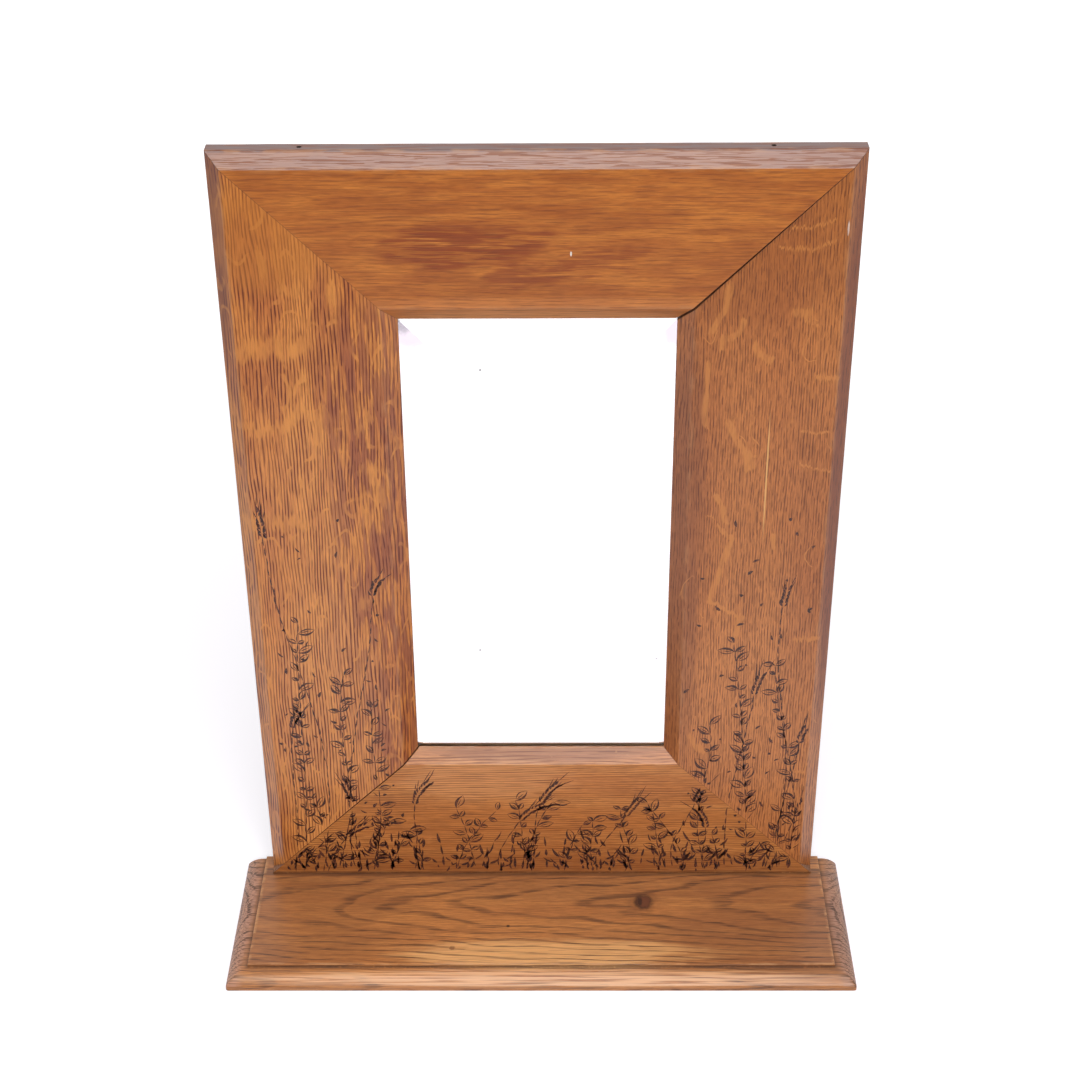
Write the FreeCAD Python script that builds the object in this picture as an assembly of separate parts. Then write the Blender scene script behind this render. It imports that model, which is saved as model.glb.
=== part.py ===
"""Oak wall mirror with a shelf: a mitred frame of wide chamfered boards that stands on a moulded shelf.

Millimetres. +Z is up, the mirror faces -Y and its back is towards +Y. Left and right are the viewer's.
The origin is at the middle of the bounding box's underside, on the surface that the shelf stands on.
"""
import FreeCAD, Part
import math
import os

from FreeCAD import Rotation, Vector

# Frame boards
FRAME_W = 450.0             # across the frame, outer edge to outer edge
FRAME_H = 634.0             # from the shelf's top to the frame's top edge
FRAME_T = 21.5              # thickness of the boards
BOARD_W = 126.0             # width of each board, outer edge to sight edge
OUTER_CHAMFER_FACE = 10.5   # outer chamfer, measured across the front face
OUTER_CHAMFER_EDGE = 9.5    # outer chamfer, measured down the edge
INNER_CHAMFER_FACE = 11.7   # inner chamfer, measured across the front face
INNER_CHAMFER_EDGE = 8.7    # inner chamfer, measured down towards the glass
SIGHT_LIP = 1.5             # square lip left behind the inner chamfer
REBATE_W = 8.0              # how far the rebate is cut back from the sight edge
TOP_RIGHT_OPENING = 1.8     # shrinkage gap at the inner end of the top right mitre
BOTTOM_LEFT_OPENING = 1.2   # shrinkage gap at the inner end of the bottom left mitre

# Loose tongues in the mitres
TONGUE_T = 5.0              # thickness
TONGUE_ACROSS = 26.0        # width across the mitre, half in each board
TONGUE_OUTER_SETBACK = 26.0 # from the boards' outer edges to the tongue's outer end
TONGUE_INNER_SETBACK = 26.0 # from the sight edges to the tongue's inner end
TONGUE_FIT = 0.1            # clearance on the tongue's faces
TONGUE_END_ROOM = 0.5       # room round the tongue's edges, for glue

# Mirror
GLASS_T = 6.0               # plate thickness
GLASS_EDGE_T = 3.0          # what the bevel leaves at the plate's edge
BEVEL_W = 26.0              # width of the bevel
GLASS_CLEARANCE = 1.0       # between the plate's edge and the rebate's wall
GLASS_SEAT = 0.05           # between the bevel and the lip that it bears on
SILVERING_T = 0.3           # silver and its paint coat

# Backboard and its brads
BACKBOARD_CLEARANCE = 1.0   # between the board's edge and the rebate's wall
BACKBOARD_RECESS = 2.2      # from the board's back to the frame's back
BRAD_D = 1.2
BRAD_L = 20.0
BRAD_DRIVEN = 12.0          # length of a brad that is in the frame
BRAD_POINT = 2.0            # length of its point
BRAD_FIT = 0.05
BRAD_END = 45.0             # from the rebate's corner to the nearest brad
SIDE_BRADS = 4              # brads in each stile
RAIL_BRADS = 2              # brads in each rail

# Screw-eye holes in the top edge
EYE_INSET = 64.0            # from the frame's side to the hole
EYE_D = 3.6
EYE_DEPTH = 20.0

# Shelf
SHELF_OVERHANG = 23.5       # past each side of the frame
SHELF_PROJECTION = 124.0    # in front of the boards' front faces
SHELF_T = 13.0
FIELD_STEP = 2.5            # drop from the raised field to the quirk
QUIRK_W = 3.0               # flat at the foot of that step
ROUND_W = 13.0              # how far the thumbnail stands out past the quirk
NOSE_R = 3.5                # tight curve at the thumbnail's outer edge, at most half of its rise
SHELF_FOOT = 3.0            # square edge left under the thumbnail

# Shelf screws
SHELF_SCREW_D = 4.0
SHELF_SCREW_L = 45.0
SHELF_SCREW_HEAD_D = 8.0
SHELF_SCREW_HEAD_H = 2.2
SHELF_SCREW_RECESS = 0.5    # how deep the heads lie under the shelf's face
SHELF_SCREW_INSET = 85.0    # from the frame's side to the nearest screw
SHELF_SCREWS = 3

# Strap hangers and their rings
HANGER_DROP = 178.0         # from the frame's top edge down to the rings' pivots
STRAP_SHEET_T = 0.8         # brass sheet, folded double
STRAP_W = 12.0
STRAP_END = 9.0             # from the lowest screw to the strap's lower end
STRAP_CORNER_R = 4.0
RING_WIRE_D = 2.6
RING_SIDE_ROOM = 2.0        # straight bar that shows at each side of the strap
RING_CORNER_R = 3.0         # bend at each end of the ring's bar, on the centre line
RING_FIT = 0.05             # radial clearance of the bar in its knuckle
RING_STRAP_GAP = 0.3        # between the ring's bow and the strap that it hangs against
HANGER_SCREW_D = 2.8
HANGER_SCREW_L = 15.0
HANGER_SCREW_HEAD_D = 5.8
HANGER_SCREW_HEAD_H = 1.9
HANGER_SCREW_CLEAR = 5.8    # between the hanging ring's bow and the upper screw's head
HANGER_SCREW_PITCH = 12.0
HANGER_SCREWS = 2           # screws in each strap
STRAP_HOLE_FIT = 0.15       # radial clearance of the screws in the strap

# Screws in general
SCREW_FIT = 0.05            # radial clearance of a screw in wood
SCREW_POINT = 4.0           # length of a screw's point
SCREW_POINT_FLAT = 0.2      # radius of the flat at the very end
SLOT_W = 0.9                # driver slot
SLOT_DEPTH = 0.9

# Places that follow from those sizes
KNUCKLE_BORE_R = RING_WIRE_D / 2 + RING_FIT
KNUCKLE_R = KNUCKLE_BORE_R + STRAP_SHEET_T
STRAP_T = 2 * STRAP_SHEET_T
RING_HALF_BAR = STRAP_W / 2 + RING_SIDE_ROOM
RING_BOW_R = RING_HALF_BAR + RING_CORNER_R
RING_DROP = RING_CORNER_R + RING_BOW_R
RING_REST_LIFT = STRAP_T + RING_STRAP_GAP + RING_WIRE_D / 2 - KNUCKLE_R
RING_REST_TILT = math.degrees(math.asin(RING_REST_LIFT / RING_DROP))
HANGER_PROUD = max(2 * KNUCKLE_R, KNUCKLE_R + RING_REST_LIFT + RING_WIRE_D / 2)
FIRST_SCREW = RING_DROP + RING_WIRE_D / 2 + HANGER_SCREW_CLEAR + HANGER_SCREW_HEAD_D / 2
STRAP_TAIL = FIRST_SCREW + HANGER_SCREW_PITCH * (HANGER_SCREWS - 1) + STRAP_END

SHELF_W = FRAME_W + 2 * SHELF_OVERHANG
SHELF_D = FRAME_T + SHELF_PROJECTION
DEPTH = SHELF_D + HANGER_PROUD
SHELF_FRONT = -DEPTH / 2
BACK = SHELF_FRONT + SHELF_D            # plane of the frame's back and the shelf's back
FRONT = BACK - FRAME_T                  # plane of the boards' front faces
MID_BOARD = (FRONT + BACK) / 2
OUT_X = FRAME_W / 2
SIGHT_X = OUT_X - BOARD_W
FRAME_FOOT = SHELF_T
FRAME_TOP = FRAME_FOOT + FRAME_H
FRAME_MID = (FRAME_FOOT + FRAME_TOP) / 2
SIGHT_HALF_H = FRAME_H / 2 - BOARD_W
SIGHT_FOOT = FRAME_MID - SIGHT_HALF_H
SIGHT_TOP = FRAME_MID + SIGHT_HALF_H

LIP_BACK = FRONT + INNER_CHAMFER_EDGE + SIGHT_LIP
BEVEL_DROP = GLASS_T - GLASS_EDGE_T
TUCK = REBATE_W - GLASS_CLEARANCE       # how far the plate goes in behind the lip
PLATE_EDGE_FRONT = LIP_BACK + GLASS_SEAT + BEVEL_DROP * TUCK / BEVEL_W
GLASS_BACK = PLATE_EDGE_FRONT + GLASS_EDGE_T
GLASS_FRONT = GLASS_BACK - GLASS_T
SILVERING_BACK = GLASS_BACK + SILVERING_T
BACKBOARD_BACK = BACK - BACKBOARD_RECESS
BRAD_Y = BACKBOARD_BACK + BRAD_D / 2

EYE_X = OUT_X - EYE_INSET
EYE_Y = FRONT + (OUTER_CHAMFER_EDGE + FRAME_T) / 2
HANGER_X = OUT_X - BOARD_W / 2
PIVOT_Y = BACK + KNUCKLE_R
PIVOT_Z = FRAME_TOP - HANGER_DROP
PAST = 0.5                              # share by which a cutter runs on past what it cuts
OVERRUN = 1.0                           # length by which a cutter runs on past a face


def plate(points, y_front, y_back):
    """A flat piece whose outline is in the XZ plane."""
    corners = [Vector(x, y_front, z) for x, z in points]
    return flat_face(corners).extrude(Vector(0, y_back - y_front, 0))


def bar_along_x(points, x_low, x_high):
    """A straight piece along X whose section is in the YZ plane."""
    corners = [Vector(x_low, y, z) for y, z in points]
    return flat_face(corners).extrude(Vector(x_high - x_low, 0, 0))


def rectangle(half_x, half_z, y):
    """The corners of a rectangle about the middle of the frame."""
    return [
        Vector(-half_x, y, FRAME_MID - half_z),
        Vector(half_x, y, FRAME_MID - half_z),
        Vector(half_x, y, FRAME_MID + half_z),
        Vector(-half_x, y, FRAME_MID + half_z),
    ]


def flat_face(corners):
    return Part.Face(Part.makePolygon(corners + corners[:1]))


def tapered_block(front, back):
    """A solid between two rectangles, with flat sides."""
    turns = [(i, (i + 1) % len(front)) for i in range(len(front))]
    sides = [flat_face([front[i], front[j], back[j], back[i]]) for i, j in turns]
    solid = Part.Solid(Part.Shell(sides + [flat_face(front), flat_face(back)]))
    if solid.Volume < 0:
        solid.reverse()
    return solid


def block(half_x, half_z, y_front, y_back):
    """A rectangular slab about the middle of the frame."""
    return flat_face(rectangle(half_x, half_z, y_front)).extrude(Vector(0, y_back - y_front, 0))


def rod(radius, length, start, direction):
    return Part.makeCylinder(radius, length, start, direction)


def frame_boards():
    """The four mitred boards before their edges are worked."""
    top_right = TOP_RIGHT_OPENING / math.sqrt(2)
    bottom_left = BOTTOM_LEFT_OPENING / math.sqrt(2)
    top_rail = [
        (-OUT_X, FRAME_TOP),
        (OUT_X, FRAME_TOP),
        (SIGHT_X - top_right, SIGHT_TOP),
        (-SIGHT_X, SIGHT_TOP),
    ]
    bottom_rail = [
        (-OUT_X, FRAME_FOOT),
        (OUT_X, FRAME_FOOT),
        (SIGHT_X, SIGHT_FOOT),
        (-SIGHT_X + bottom_left, SIGHT_FOOT),
    ]
    left_stile = [
        (-OUT_X, FRAME_FOOT),
        (-OUT_X, FRAME_TOP),
        (-SIGHT_X, SIGHT_TOP),
        (-SIGHT_X, SIGHT_FOOT + bottom_left),
    ]
    right_stile = [
        (OUT_X, FRAME_FOOT),
        (OUT_X, FRAME_TOP),
        (SIGHT_X, SIGHT_TOP - top_right),
        (SIGHT_X, SIGHT_FOOT),
    ]
    outlines = {
        "top_rail": top_rail,
        "bottom_rail": bottom_rail,
        "left_stile": left_stile,
        "right_stile": right_stile,
    }
    return {name: plate(outline, FRONT, BACK) for name, outline in outlines.items()}


def outer_chamfers():
    """Cutters for the chamfer on the top edge and down both sides. The bottom edge stays square."""
    run_face = PAST * OUTER_CHAMFER_FACE
    run_edge = PAST * OUTER_CHAMFER_EDGE
    low_y = FRONT - run_edge
    high_y = FRONT + OUTER_CHAMFER_EDGE + run_edge
    top = [
        (low_y, FRAME_TOP - OUTER_CHAMFER_FACE - run_face),
        (high_y, FRAME_TOP + run_face),
        (low_y, FRAME_TOP + run_face),
    ]
    cutters = [bar_along_x(top, -OUT_X - OVERRUN, OUT_X + OVERRUN)]
    for side in (-1, 1):
        near = side * (OUT_X - OUTER_CHAMFER_FACE - run_face)
        far = side * (OUT_X + run_face)
        z_low = FRAME_FOOT - OVERRUN
        corners = [Vector(near, low_y, z_low), Vector(far, high_y, z_low), Vector(far, low_y, z_low)]
        cutters.append(flat_face(corners).extrude(Vector(0, 0, FRAME_H + 2 * OVERRUN)))
    return cutters


def inner_chamfer():
    """A tapered cutter that widens the sight opening towards the front."""
    ends = []
    for share in (-PAST, 1 + PAST):
        spread = INNER_CHAMFER_FACE * (1 - share)
        y = FRONT + INNER_CHAMFER_EDGE * share
        ends.append(rectangle(SIGHT_X + spread, SIGHT_HALF_H + spread, y))
    return tapered_block(*ends)


def rebate():
    """The recess behind the lip, for the glass and the backboard."""
    return block(SIGHT_X + REBATE_W, SIGHT_HALF_H + REBATE_W, LIP_BACK, BACK + OVERRUN)


def tongue(side, end, face_room, edge_room):
    """A loose tongue across one mitre, or its slot when it is given room. side and end are -1 or 1."""
    outer = TONGUE_OUTER_SETBACK
    inner = BOARD_W - TONGUE_INNER_SETBACK
    length = (inner - outer) * math.sqrt(2) + 2 * edge_room
    across = TONGUE_ACROSS + 2 * edge_room
    thick = TONGUE_T + 2 * face_room
    solid = Part.makeBox(across, thick, length, Vector(-across / 2, -thick / 2, -length / 2))
    middle = (outer + inner) / 2
    centre_z = FRAME_MID + end * (FRAME_H / 2 - middle)
    turn = Rotation(Vector(0, 1, 0), 45 * side * end)
    solid.Placement = FreeCAD.Placement(Vector(side * (OUT_X - middle), MID_BOARD, centre_z), turn)
    return solid


TONGUES = {
    "top_left_tongue": (-1, 1, "top_rail", "left_stile"),
    "top_right_tongue": (1, 1, "top_rail", "right_stile"),
    "bottom_left_tongue": (-1, -1, "bottom_rail", "left_stile"),
    "bottom_right_tongue": (1, -1, "bottom_rail", "right_stile"),
}


def mirror_glass():
    """The bevelled plate: a slab under a tapered crown."""
    half_x = SIGHT_X + TUCK
    half_z = SIGHT_HALF_H + TUCK
    slab = block(half_x, half_z, PLATE_EDGE_FRONT, GLASS_BACK)
    foot = rectangle(half_x, half_z, PLATE_EDGE_FRONT)
    crown = rectangle(half_x - BEVEL_W, half_z - BEVEL_W, GLASS_FRONT)
    return slab.fuse(tapered_block(crown, foot)).removeSplitter()


def mirror_silvering():
    return block(SIGHT_X + TUCK, SIGHT_HALF_H + TUCK, GLASS_BACK, SILVERING_BACK)


def backboard():
    over = REBATE_W - BACKBOARD_CLEARANCE
    return block(SIGHT_X + over, SIGHT_HALF_H + over, SILVERING_BACK, BACKBOARD_BACK)


def spread_out(count, low, high):
    """Evenly spaced places from low to high."""
    return [low + (high - low) * i / (count - 1) for i in range(count)]


def brad_places():
    """Each brad's board, the point where it enters the rebate's wall, and the way it is driven."""
    wall_x = SIGHT_X + REBATE_W
    wall_z = SIGHT_HALF_H + REBATE_W
    places = []
    for z in spread_out(SIDE_BRADS, FRAME_MID - wall_z + BRAD_END, FRAME_MID + wall_z - BRAD_END):
        places.append(("left_stile", Vector(-wall_x, BRAD_Y, z), Vector(-1, 0, 0)))
        places.append(("right_stile", Vector(wall_x, BRAD_Y, z), Vector(1, 0, 0)))
    for x in spread_out(RAIL_BRADS, -wall_x + BRAD_END, wall_x - BRAD_END):
        places.append(("bottom_rail", Vector(x, BRAD_Y, FRAME_MID - wall_z), Vector(0, 0, -1)))
        places.append(("top_rail", Vector(x, BRAD_Y, FRAME_MID + wall_z), Vector(0, 0, 1)))
    return places


def pointed_rod(radius, length, point, start, direction):
    """A round rod that tapers to a small flat over its last stretch."""
    straight = rod(radius, length - point, start, direction)
    taper_start = start + direction * (length - point)
    flat = min(SCREW_POINT_FLAT, radius / 2)
    return straight.fuse(Part.makeCone(radius, flat, point, taper_start, direction)).removeSplitter()


def brad(start, direction):
    head = start - direction * (BRAD_L - BRAD_DRIVEN)
    return pointed_rod(BRAD_D / 2, BRAD_L, BRAD_POINT, head, direction)


def line(start, end):
    return Part.LineSegment(start, end).toShape()


def arc(start, middle, end):
    return Part.Arc(start, middle, end).toShape()


def open_run(points):
    """Straight edges from each point to the next."""
    return [line(a, b) for a, b in zip(points, points[1:])]


def swept(edges, direction):
    """A solid whose section is the closed outline that the edges make in some order."""
    return Part.Face(Part.Wire(Part.__sortEdges__(edges))).extrude(direction)


def moulded_edge(at):
    """The shelf edge's outline, from the square foot over the thumbnail to the raised field.

    at(inward, height) gives a point of the outline. Returns the edges and their two ends.
    """
    quirk_z = SHELF_T - FIELD_STEP
    rise = quirk_z - SHELF_FOOT
    nose_r = min(NOSE_R, rise / 2)
    crown_r = ((ROUND_W - nose_r) ** 2 + rise ** 2 - nose_r ** 2) / (2 * (rise - nose_r))
    crown_z = quirk_z - crown_r
    turn = math.atan2(ROUND_W - nose_r, crown_r - rise)

    def on_nose(angle):
        return at(nose_r - nose_r * math.sin(angle), SHELF_FOOT + nose_r * math.cos(angle))

    def on_crown(angle):
        return at(ROUND_W - crown_r * math.sin(angle), crown_z + crown_r * math.cos(angle))

    foot = at(0, SHELF_FOOT)
    meet = on_nose(turn)
    top = at(ROUND_W, quirk_z)
    quirk = at(ROUND_W + QUIRK_W, quirk_z)
    field = at(ROUND_W + QUIRK_W, SHELF_T)
    nose = arc(foot, on_nose((math.pi / 2 + turn) / 2), meet)
    crown = arc(meet, on_crown(turn / 2), top)
    return [nose, crown] + open_run([top, quirk, field]), foot, field


def shelf():
    """A board whose front and ends carry the same moulding: the common part of two straight runs."""
    half_w = SHELF_W / 2

    def at_front(inward, height):
        return Vector(-half_w, SHELF_FRONT + inward, height)

    def at_left(inward, height):
        return Vector(-half_w + inward, SHELF_FRONT, height)

    def at_right(inward, height):
        return Vector(half_w - inward, SHELF_FRONT, height)

    edges, foot, field = moulded_edge(at_front)
    rest = [foot, at_front(0, 0), at_front(SHELF_D, 0), at_front(SHELF_D, SHELF_T), field]
    front_run = swept(edges + open_run(rest), Vector(SHELF_W, 0, 0))

    left, left_foot, left_field = moulded_edge(at_left)
    right, right_foot, right_field = moulded_edge(at_right)
    under = open_run([left_foot, at_left(0, 0), at_right(0, 0), right_foot])
    over = open_run([left_field, right_field])
    end_run = swept(left + right + under + over, Vector(0, SHELF_D, 0))
    return front_run.common(end_run)


def shelf_screw_xs():
    outermost = OUT_X - SHELF_SCREW_INSET
    return spread_out(SHELF_SCREWS, -outermost, outermost)


def driver_slot(head_r, face, axis, across):
    """A straight slot across a screw's head. axis points out of the head."""
    box = Part.makeBox(2 * head_r + OVERRUN, SLOT_W, SLOT_DEPTH + OVERRUN)
    box.translate(Vector(-head_r - OVERRUN / 2, -SLOT_W / 2, -SLOT_DEPTH))
    side = axis.cross(across)
    matrix = FreeCAD.Matrix(
        across.x, side.x, axis.x, face.x,
        across.y, side.y, axis.y, face.y,
        across.z, side.z, axis.z, face.z,
        0, 0, 0, 1,
    )
    box.Placement = FreeCAD.Placement(matrix).multiply(box.Placement)
    return box


def shelf_screw(x):
    """A slotted countersunk screw, driven upwards."""
    up = Vector(0, 0, 1)
    head = Vector(x, MID_BOARD, SHELF_SCREW_RECESS)
    cone = Part.makeCone(SHELF_SCREW_HEAD_D / 2, SHELF_SCREW_D / 2, SHELF_SCREW_HEAD_H, head, up)
    shank = pointed_rod(SHELF_SCREW_D / 2, SHELF_SCREW_L, SCREW_POINT, head, up)
    slot = driver_slot(SHELF_SCREW_HEAD_D / 2, head, Vector(0, 0, -1), Vector(1, 0, 0))
    return cone.fuse(shank).removeSplitter().cut(slot)


def shelf_screw_hole(x):
    """The countersunk and clearance hole for a shelf screw, through the shelf and into the rail."""
    up = Vector(0, 0, 1)
    start = Vector(x, MID_BOARD, SHELF_SCREW_RECESS)
    low = Vector(x, MID_BOARD, -OVERRUN)
    wide = SHELF_SCREW_HEAD_D / 2 + SCREW_FIT
    narrow = SHELF_SCREW_D / 2 + SCREW_FIT
    mouth = rod(wide, SHELF_SCREW_RECESS + OVERRUN, low, up)
    cone = Part.makeCone(wide, narrow, SHELF_SCREW_HEAD_H, start, up)
    shank = rod(narrow, SHELF_SCREW_L + SCREW_FIT, start, up)
    return mouth.fuse(cone).fuse(shank)


def hanger_strap(x):
    """A folded brass strap with a knuckle for the ring at its upper end."""
    corner_r = min(STRAP_CORNER_R, STRAP_W / 2 - STRAP_HOLE_FIT)
    slack = corner_r * (1 - math.sqrt(0.5))
    half_w = STRAP_W / 2
    low = PIVOT_Z - STRAP_TAIL

    def at(across, height):
        return Vector(x + across, BACK, height)

    left = [at(-half_w, low + corner_r), at(-half_w + slack, low + slack), at(-half_w + corner_r, low)]
    right = [at(half_w - corner_r, low), at(half_w - slack, low + slack), at(half_w, low + corner_r)]
    sides = open_run([right[2], at(half_w, PIVOT_Z), at(-half_w, PIVOT_Z), left[0]])
    leaf = swept([arc(*left), line(left[2], right[0]), arc(*right)] + sides, Vector(0, STRAP_T, 0))

    across = Vector(1, 0, 0)
    axis_end = Vector(x - half_w, PIVOT_Y, PIVOT_Z)
    knuckle = rod(KNUCKLE_R, STRAP_W, axis_end, across)
    bore = rod(KNUCKLE_BORE_R, STRAP_W + 2 * OVERRUN, axis_end - across * OVERRUN, across)
    strap = knuckle.fuse(leaf).removeSplitter().cut(bore)
    inward = Vector(0, -1, 0)
    for place in hanger_screw_places(x):
        mouth = place - inward * OVERRUN
        hole_r = HANGER_SCREW_D / 2 + STRAP_HOLE_FIT
        strap = strap.cut(rod(hole_r, STRAP_T + 2 * OVERRUN, mouth, inward))
    return strap


def hanger_screw_places(x):
    """Where the screws' heads sit on the strap."""
    heights = [PIVOT_Z - FIRST_SCREW - HANGER_SCREW_PITCH * i for i in range(HANGER_SCREWS)]
    return [Vector(x, BACK + STRAP_T, z) for z in heights]


def hanger_screw(place):
    """A slotted round-headed screw, driven forwards into the stile."""
    inward = Vector(0, -1, 0)
    outward = Vector(0, 1, 0)
    head_r = HANGER_SCREW_HEAD_D / 2
    dome_r = (head_r ** 2 + HANGER_SCREW_HEAD_H ** 2) / (2 * HANGER_SCREW_HEAD_H)
    ball = Part.makeSphere(dome_r, place + outward * (HANGER_SCREW_HEAD_H - dome_r))
    cap = rod(head_r, HANGER_SCREW_HEAD_H + OVERRUN, place, outward)
    head = ball.common(cap)
    shank = pointed_rod(HANGER_SCREW_D / 2, HANGER_SCREW_L, SCREW_POINT, place, inward)
    top = place + outward * HANGER_SCREW_HEAD_H
    slot = driver_slot(head_r, top, outward, Vector(1, 0, 0))
    return head.fuse(shank).removeSplitter().cut(slot)


def hanger_screw_hole(place):
    return rod(HANGER_SCREW_D / 2 + SCREW_FIT, HANGER_SCREW_L + SCREW_FIT, place, Vector(0, -1, 0))


def hanger_ring(x):
    """A D of round wire. Its bar turns in the knuckle and its bow hangs against the strap."""
    half_bar = RING_HALF_BAR
    bow_r = RING_BOW_R
    slack = RING_CORNER_R * math.sqrt(0.5)
    drop = PIVOT_Z - RING_CORNER_R

    def at(across, height):
        return Vector(x + across, PIVOT_Y, height)

    path = Part.Wire([
        line(at(-half_bar, PIVOT_Z), at(half_bar, PIVOT_Z)),
        arc(at(half_bar, PIVOT_Z), at(half_bar + slack, drop + slack), at(bow_r, drop)),
        arc(at(bow_r, drop), at(0, drop - bow_r), at(-bow_r, drop)),
        arc(at(-bow_r, drop), at(-half_bar - slack, drop + slack), at(-half_bar, PIVOT_Z)),
    ])
    section = Part.Wire([Part.makeCircle(RING_WIRE_D / 2, at(-half_bar, PIVOT_Z), Vector(1, 0, 0))])
    ring = path.makePipeShell([section], True, False)
    ring.rotate(at(0, PIVOT_Z), Vector(1, 0, 0), RING_REST_TILT)
    wire_area = math.pi * RING_WIRE_D ** 2 / 4
    print("ring volume", round(ring.Volume, 3), "wire area times length", round(wire_area * path.Length, 3))
    return ring


def build():
    """Every node of the part, by name."""
    nodes = frame_boards()
    cutters = outer_chamfers() + [inner_chamfer(), rebate()]
    for name in nodes:
        for cutter in cutters:
            nodes[name] = nodes[name].cut(cutter)
    for name, (side, end, rail, stile) in TONGUES.items():
        slot = tongue(side, end, TONGUE_FIT, TONGUE_END_ROOM)
        for board in (rail, stile):
            nodes[board] = nodes[board].cut(slot)
        nodes[name] = tongue(side, end, 0, 0)

    nodes["mirror_glass"] = mirror_glass()
    nodes["mirror_silvering"] = mirror_silvering()
    nodes["backboard"] = backboard()
    brads = []
    for board, start, direction in brad_places():
        hole = rod(BRAD_D / 2 + BRAD_FIT, BRAD_DRIVEN + BRAD_FIT, start, direction)
        nodes[board] = nodes[board].cut(hole)
        brads.append(brad(start, direction))
    nodes["backboard_brads"] = Part.makeCompound(brads)

    for side in (-1, 1):
        mouth = Vector(side * EYE_X, EYE_Y, FRAME_TOP + OVERRUN)
        hole = rod(EYE_D / 2, EYE_DEPTH + OVERRUN, mouth, Vector(0, 0, -1))
        nodes["top_rail"] = nodes["top_rail"].cut(hole)

    nodes["shelf"] = shelf()
    for x in shelf_screw_xs():
        hole = shelf_screw_hole(x)
        nodes["shelf"] = nodes["shelf"].cut(hole)
        nodes["bottom_rail"] = nodes["bottom_rail"].cut(hole)
    nodes["shelf_screws"] = Part.makeCompound([shelf_screw(x) for x in shelf_screw_xs()])

    for side, hand in ((-1, "left"), (1, "right")):
        x = side * HANGER_X
        stile = hand + "_stile"
        for place in hanger_screw_places(x):
            nodes[stile] = nodes[stile].cut(hanger_screw_hole(place))
        nodes[hand + "_hanger_strap"] = hanger_strap(x)
        nodes[hand + "_hanger_ring"] = hanger_ring(x)
        screws = [hanger_screw(place) for place in hanger_screw_places(x)]
        nodes[hand + "_hanger_screws"] = Part.makeCompound(screws)
    return nodes


os.makedirs("parts", exist_ok=True)
for node, shape in build().items():
    shape.exportStep("parts/" + node + ".step")
    box = shape.BoundBox
    low = [round(v, 2) for v in (box.XMin, box.YMin, box.ZMin)]
    high = [round(v, 2) for v in (box.XMax, box.YMax, box.ZMax)]
    print(node, len(shape.Solids), "solids", shape.isValid(), round(shape.Volume), low, high)
print("ring pivots", round(HANGER_X, 3), round(PIVOT_Y, 3), round(PIVOT_Z, 3))
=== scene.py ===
# %% [markdown]
# # An oak wall mirror with a shelf
#
# The mirror is a frame of four wide oak boards, mitred at the corners and chamfered inside and out. It
# stands on a moulded oak shelf and holds a bevelled glass. The measured frame comes in as CAD nodes, all in
# metres and in one place, so nothing here has to be fitted. Blender adds what CAD can't: softened edges,
# grain, varnish, wear and light.
#
# Each step has a short text and a short piece of code. Helpers are written where they are first needed.

# %% Load the measured frame
import math
import random

import bmesh
import bpy
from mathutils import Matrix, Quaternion, Vector, noise


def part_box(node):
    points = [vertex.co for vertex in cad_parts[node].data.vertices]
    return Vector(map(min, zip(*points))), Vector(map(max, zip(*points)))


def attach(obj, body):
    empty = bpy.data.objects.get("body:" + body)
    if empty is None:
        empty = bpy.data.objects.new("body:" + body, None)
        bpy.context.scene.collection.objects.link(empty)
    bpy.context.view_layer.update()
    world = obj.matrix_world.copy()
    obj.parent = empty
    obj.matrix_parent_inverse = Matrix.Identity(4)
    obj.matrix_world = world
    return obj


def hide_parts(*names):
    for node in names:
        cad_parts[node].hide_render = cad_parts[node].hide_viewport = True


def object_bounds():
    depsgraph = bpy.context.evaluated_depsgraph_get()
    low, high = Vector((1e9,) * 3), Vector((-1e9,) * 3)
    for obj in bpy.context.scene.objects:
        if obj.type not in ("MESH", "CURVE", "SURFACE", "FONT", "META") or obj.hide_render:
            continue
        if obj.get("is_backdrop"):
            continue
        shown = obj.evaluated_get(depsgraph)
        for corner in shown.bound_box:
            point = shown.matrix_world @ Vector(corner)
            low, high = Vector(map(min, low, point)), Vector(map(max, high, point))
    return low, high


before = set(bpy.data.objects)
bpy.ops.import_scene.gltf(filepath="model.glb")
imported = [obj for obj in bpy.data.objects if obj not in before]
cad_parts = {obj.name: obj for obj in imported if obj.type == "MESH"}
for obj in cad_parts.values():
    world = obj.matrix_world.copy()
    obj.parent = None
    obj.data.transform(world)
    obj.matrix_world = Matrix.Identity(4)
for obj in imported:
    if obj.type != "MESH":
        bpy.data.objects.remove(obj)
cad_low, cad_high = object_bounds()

MM = 0.001
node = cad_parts
print("CAD nodes:", len(node), "box:", [round(v, 4) for v in cad_high - cad_low])

# %% [markdown]
# ## The camera
#
# The photograph looks down on the mirror from about a metre and a half away. A camera can be placed by eye,
# but here its place, lens and turn were worked out from the frame's corners, so the picture and the render
# line up. The pitch is the tilt below the horizon. The roll is a turn about the line of sight, added last.

# %% Camera
EYE = Vector((14.4, -1257.1, 1160.9)) * MM
PITCH, YAW, ROLL = (math.radians(angle) for angle in (32.10, -0.60, 0.43))

camera_data = bpy.data.cameras.new("photo_camera")
camera_data.sensor_width = 36.0
camera_data.lens = 68.5
camera = bpy.data.objects.new("photo_camera", camera_data)
bpy.context.scene.collection.objects.link(camera)
bpy.context.scene.camera = camera

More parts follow.
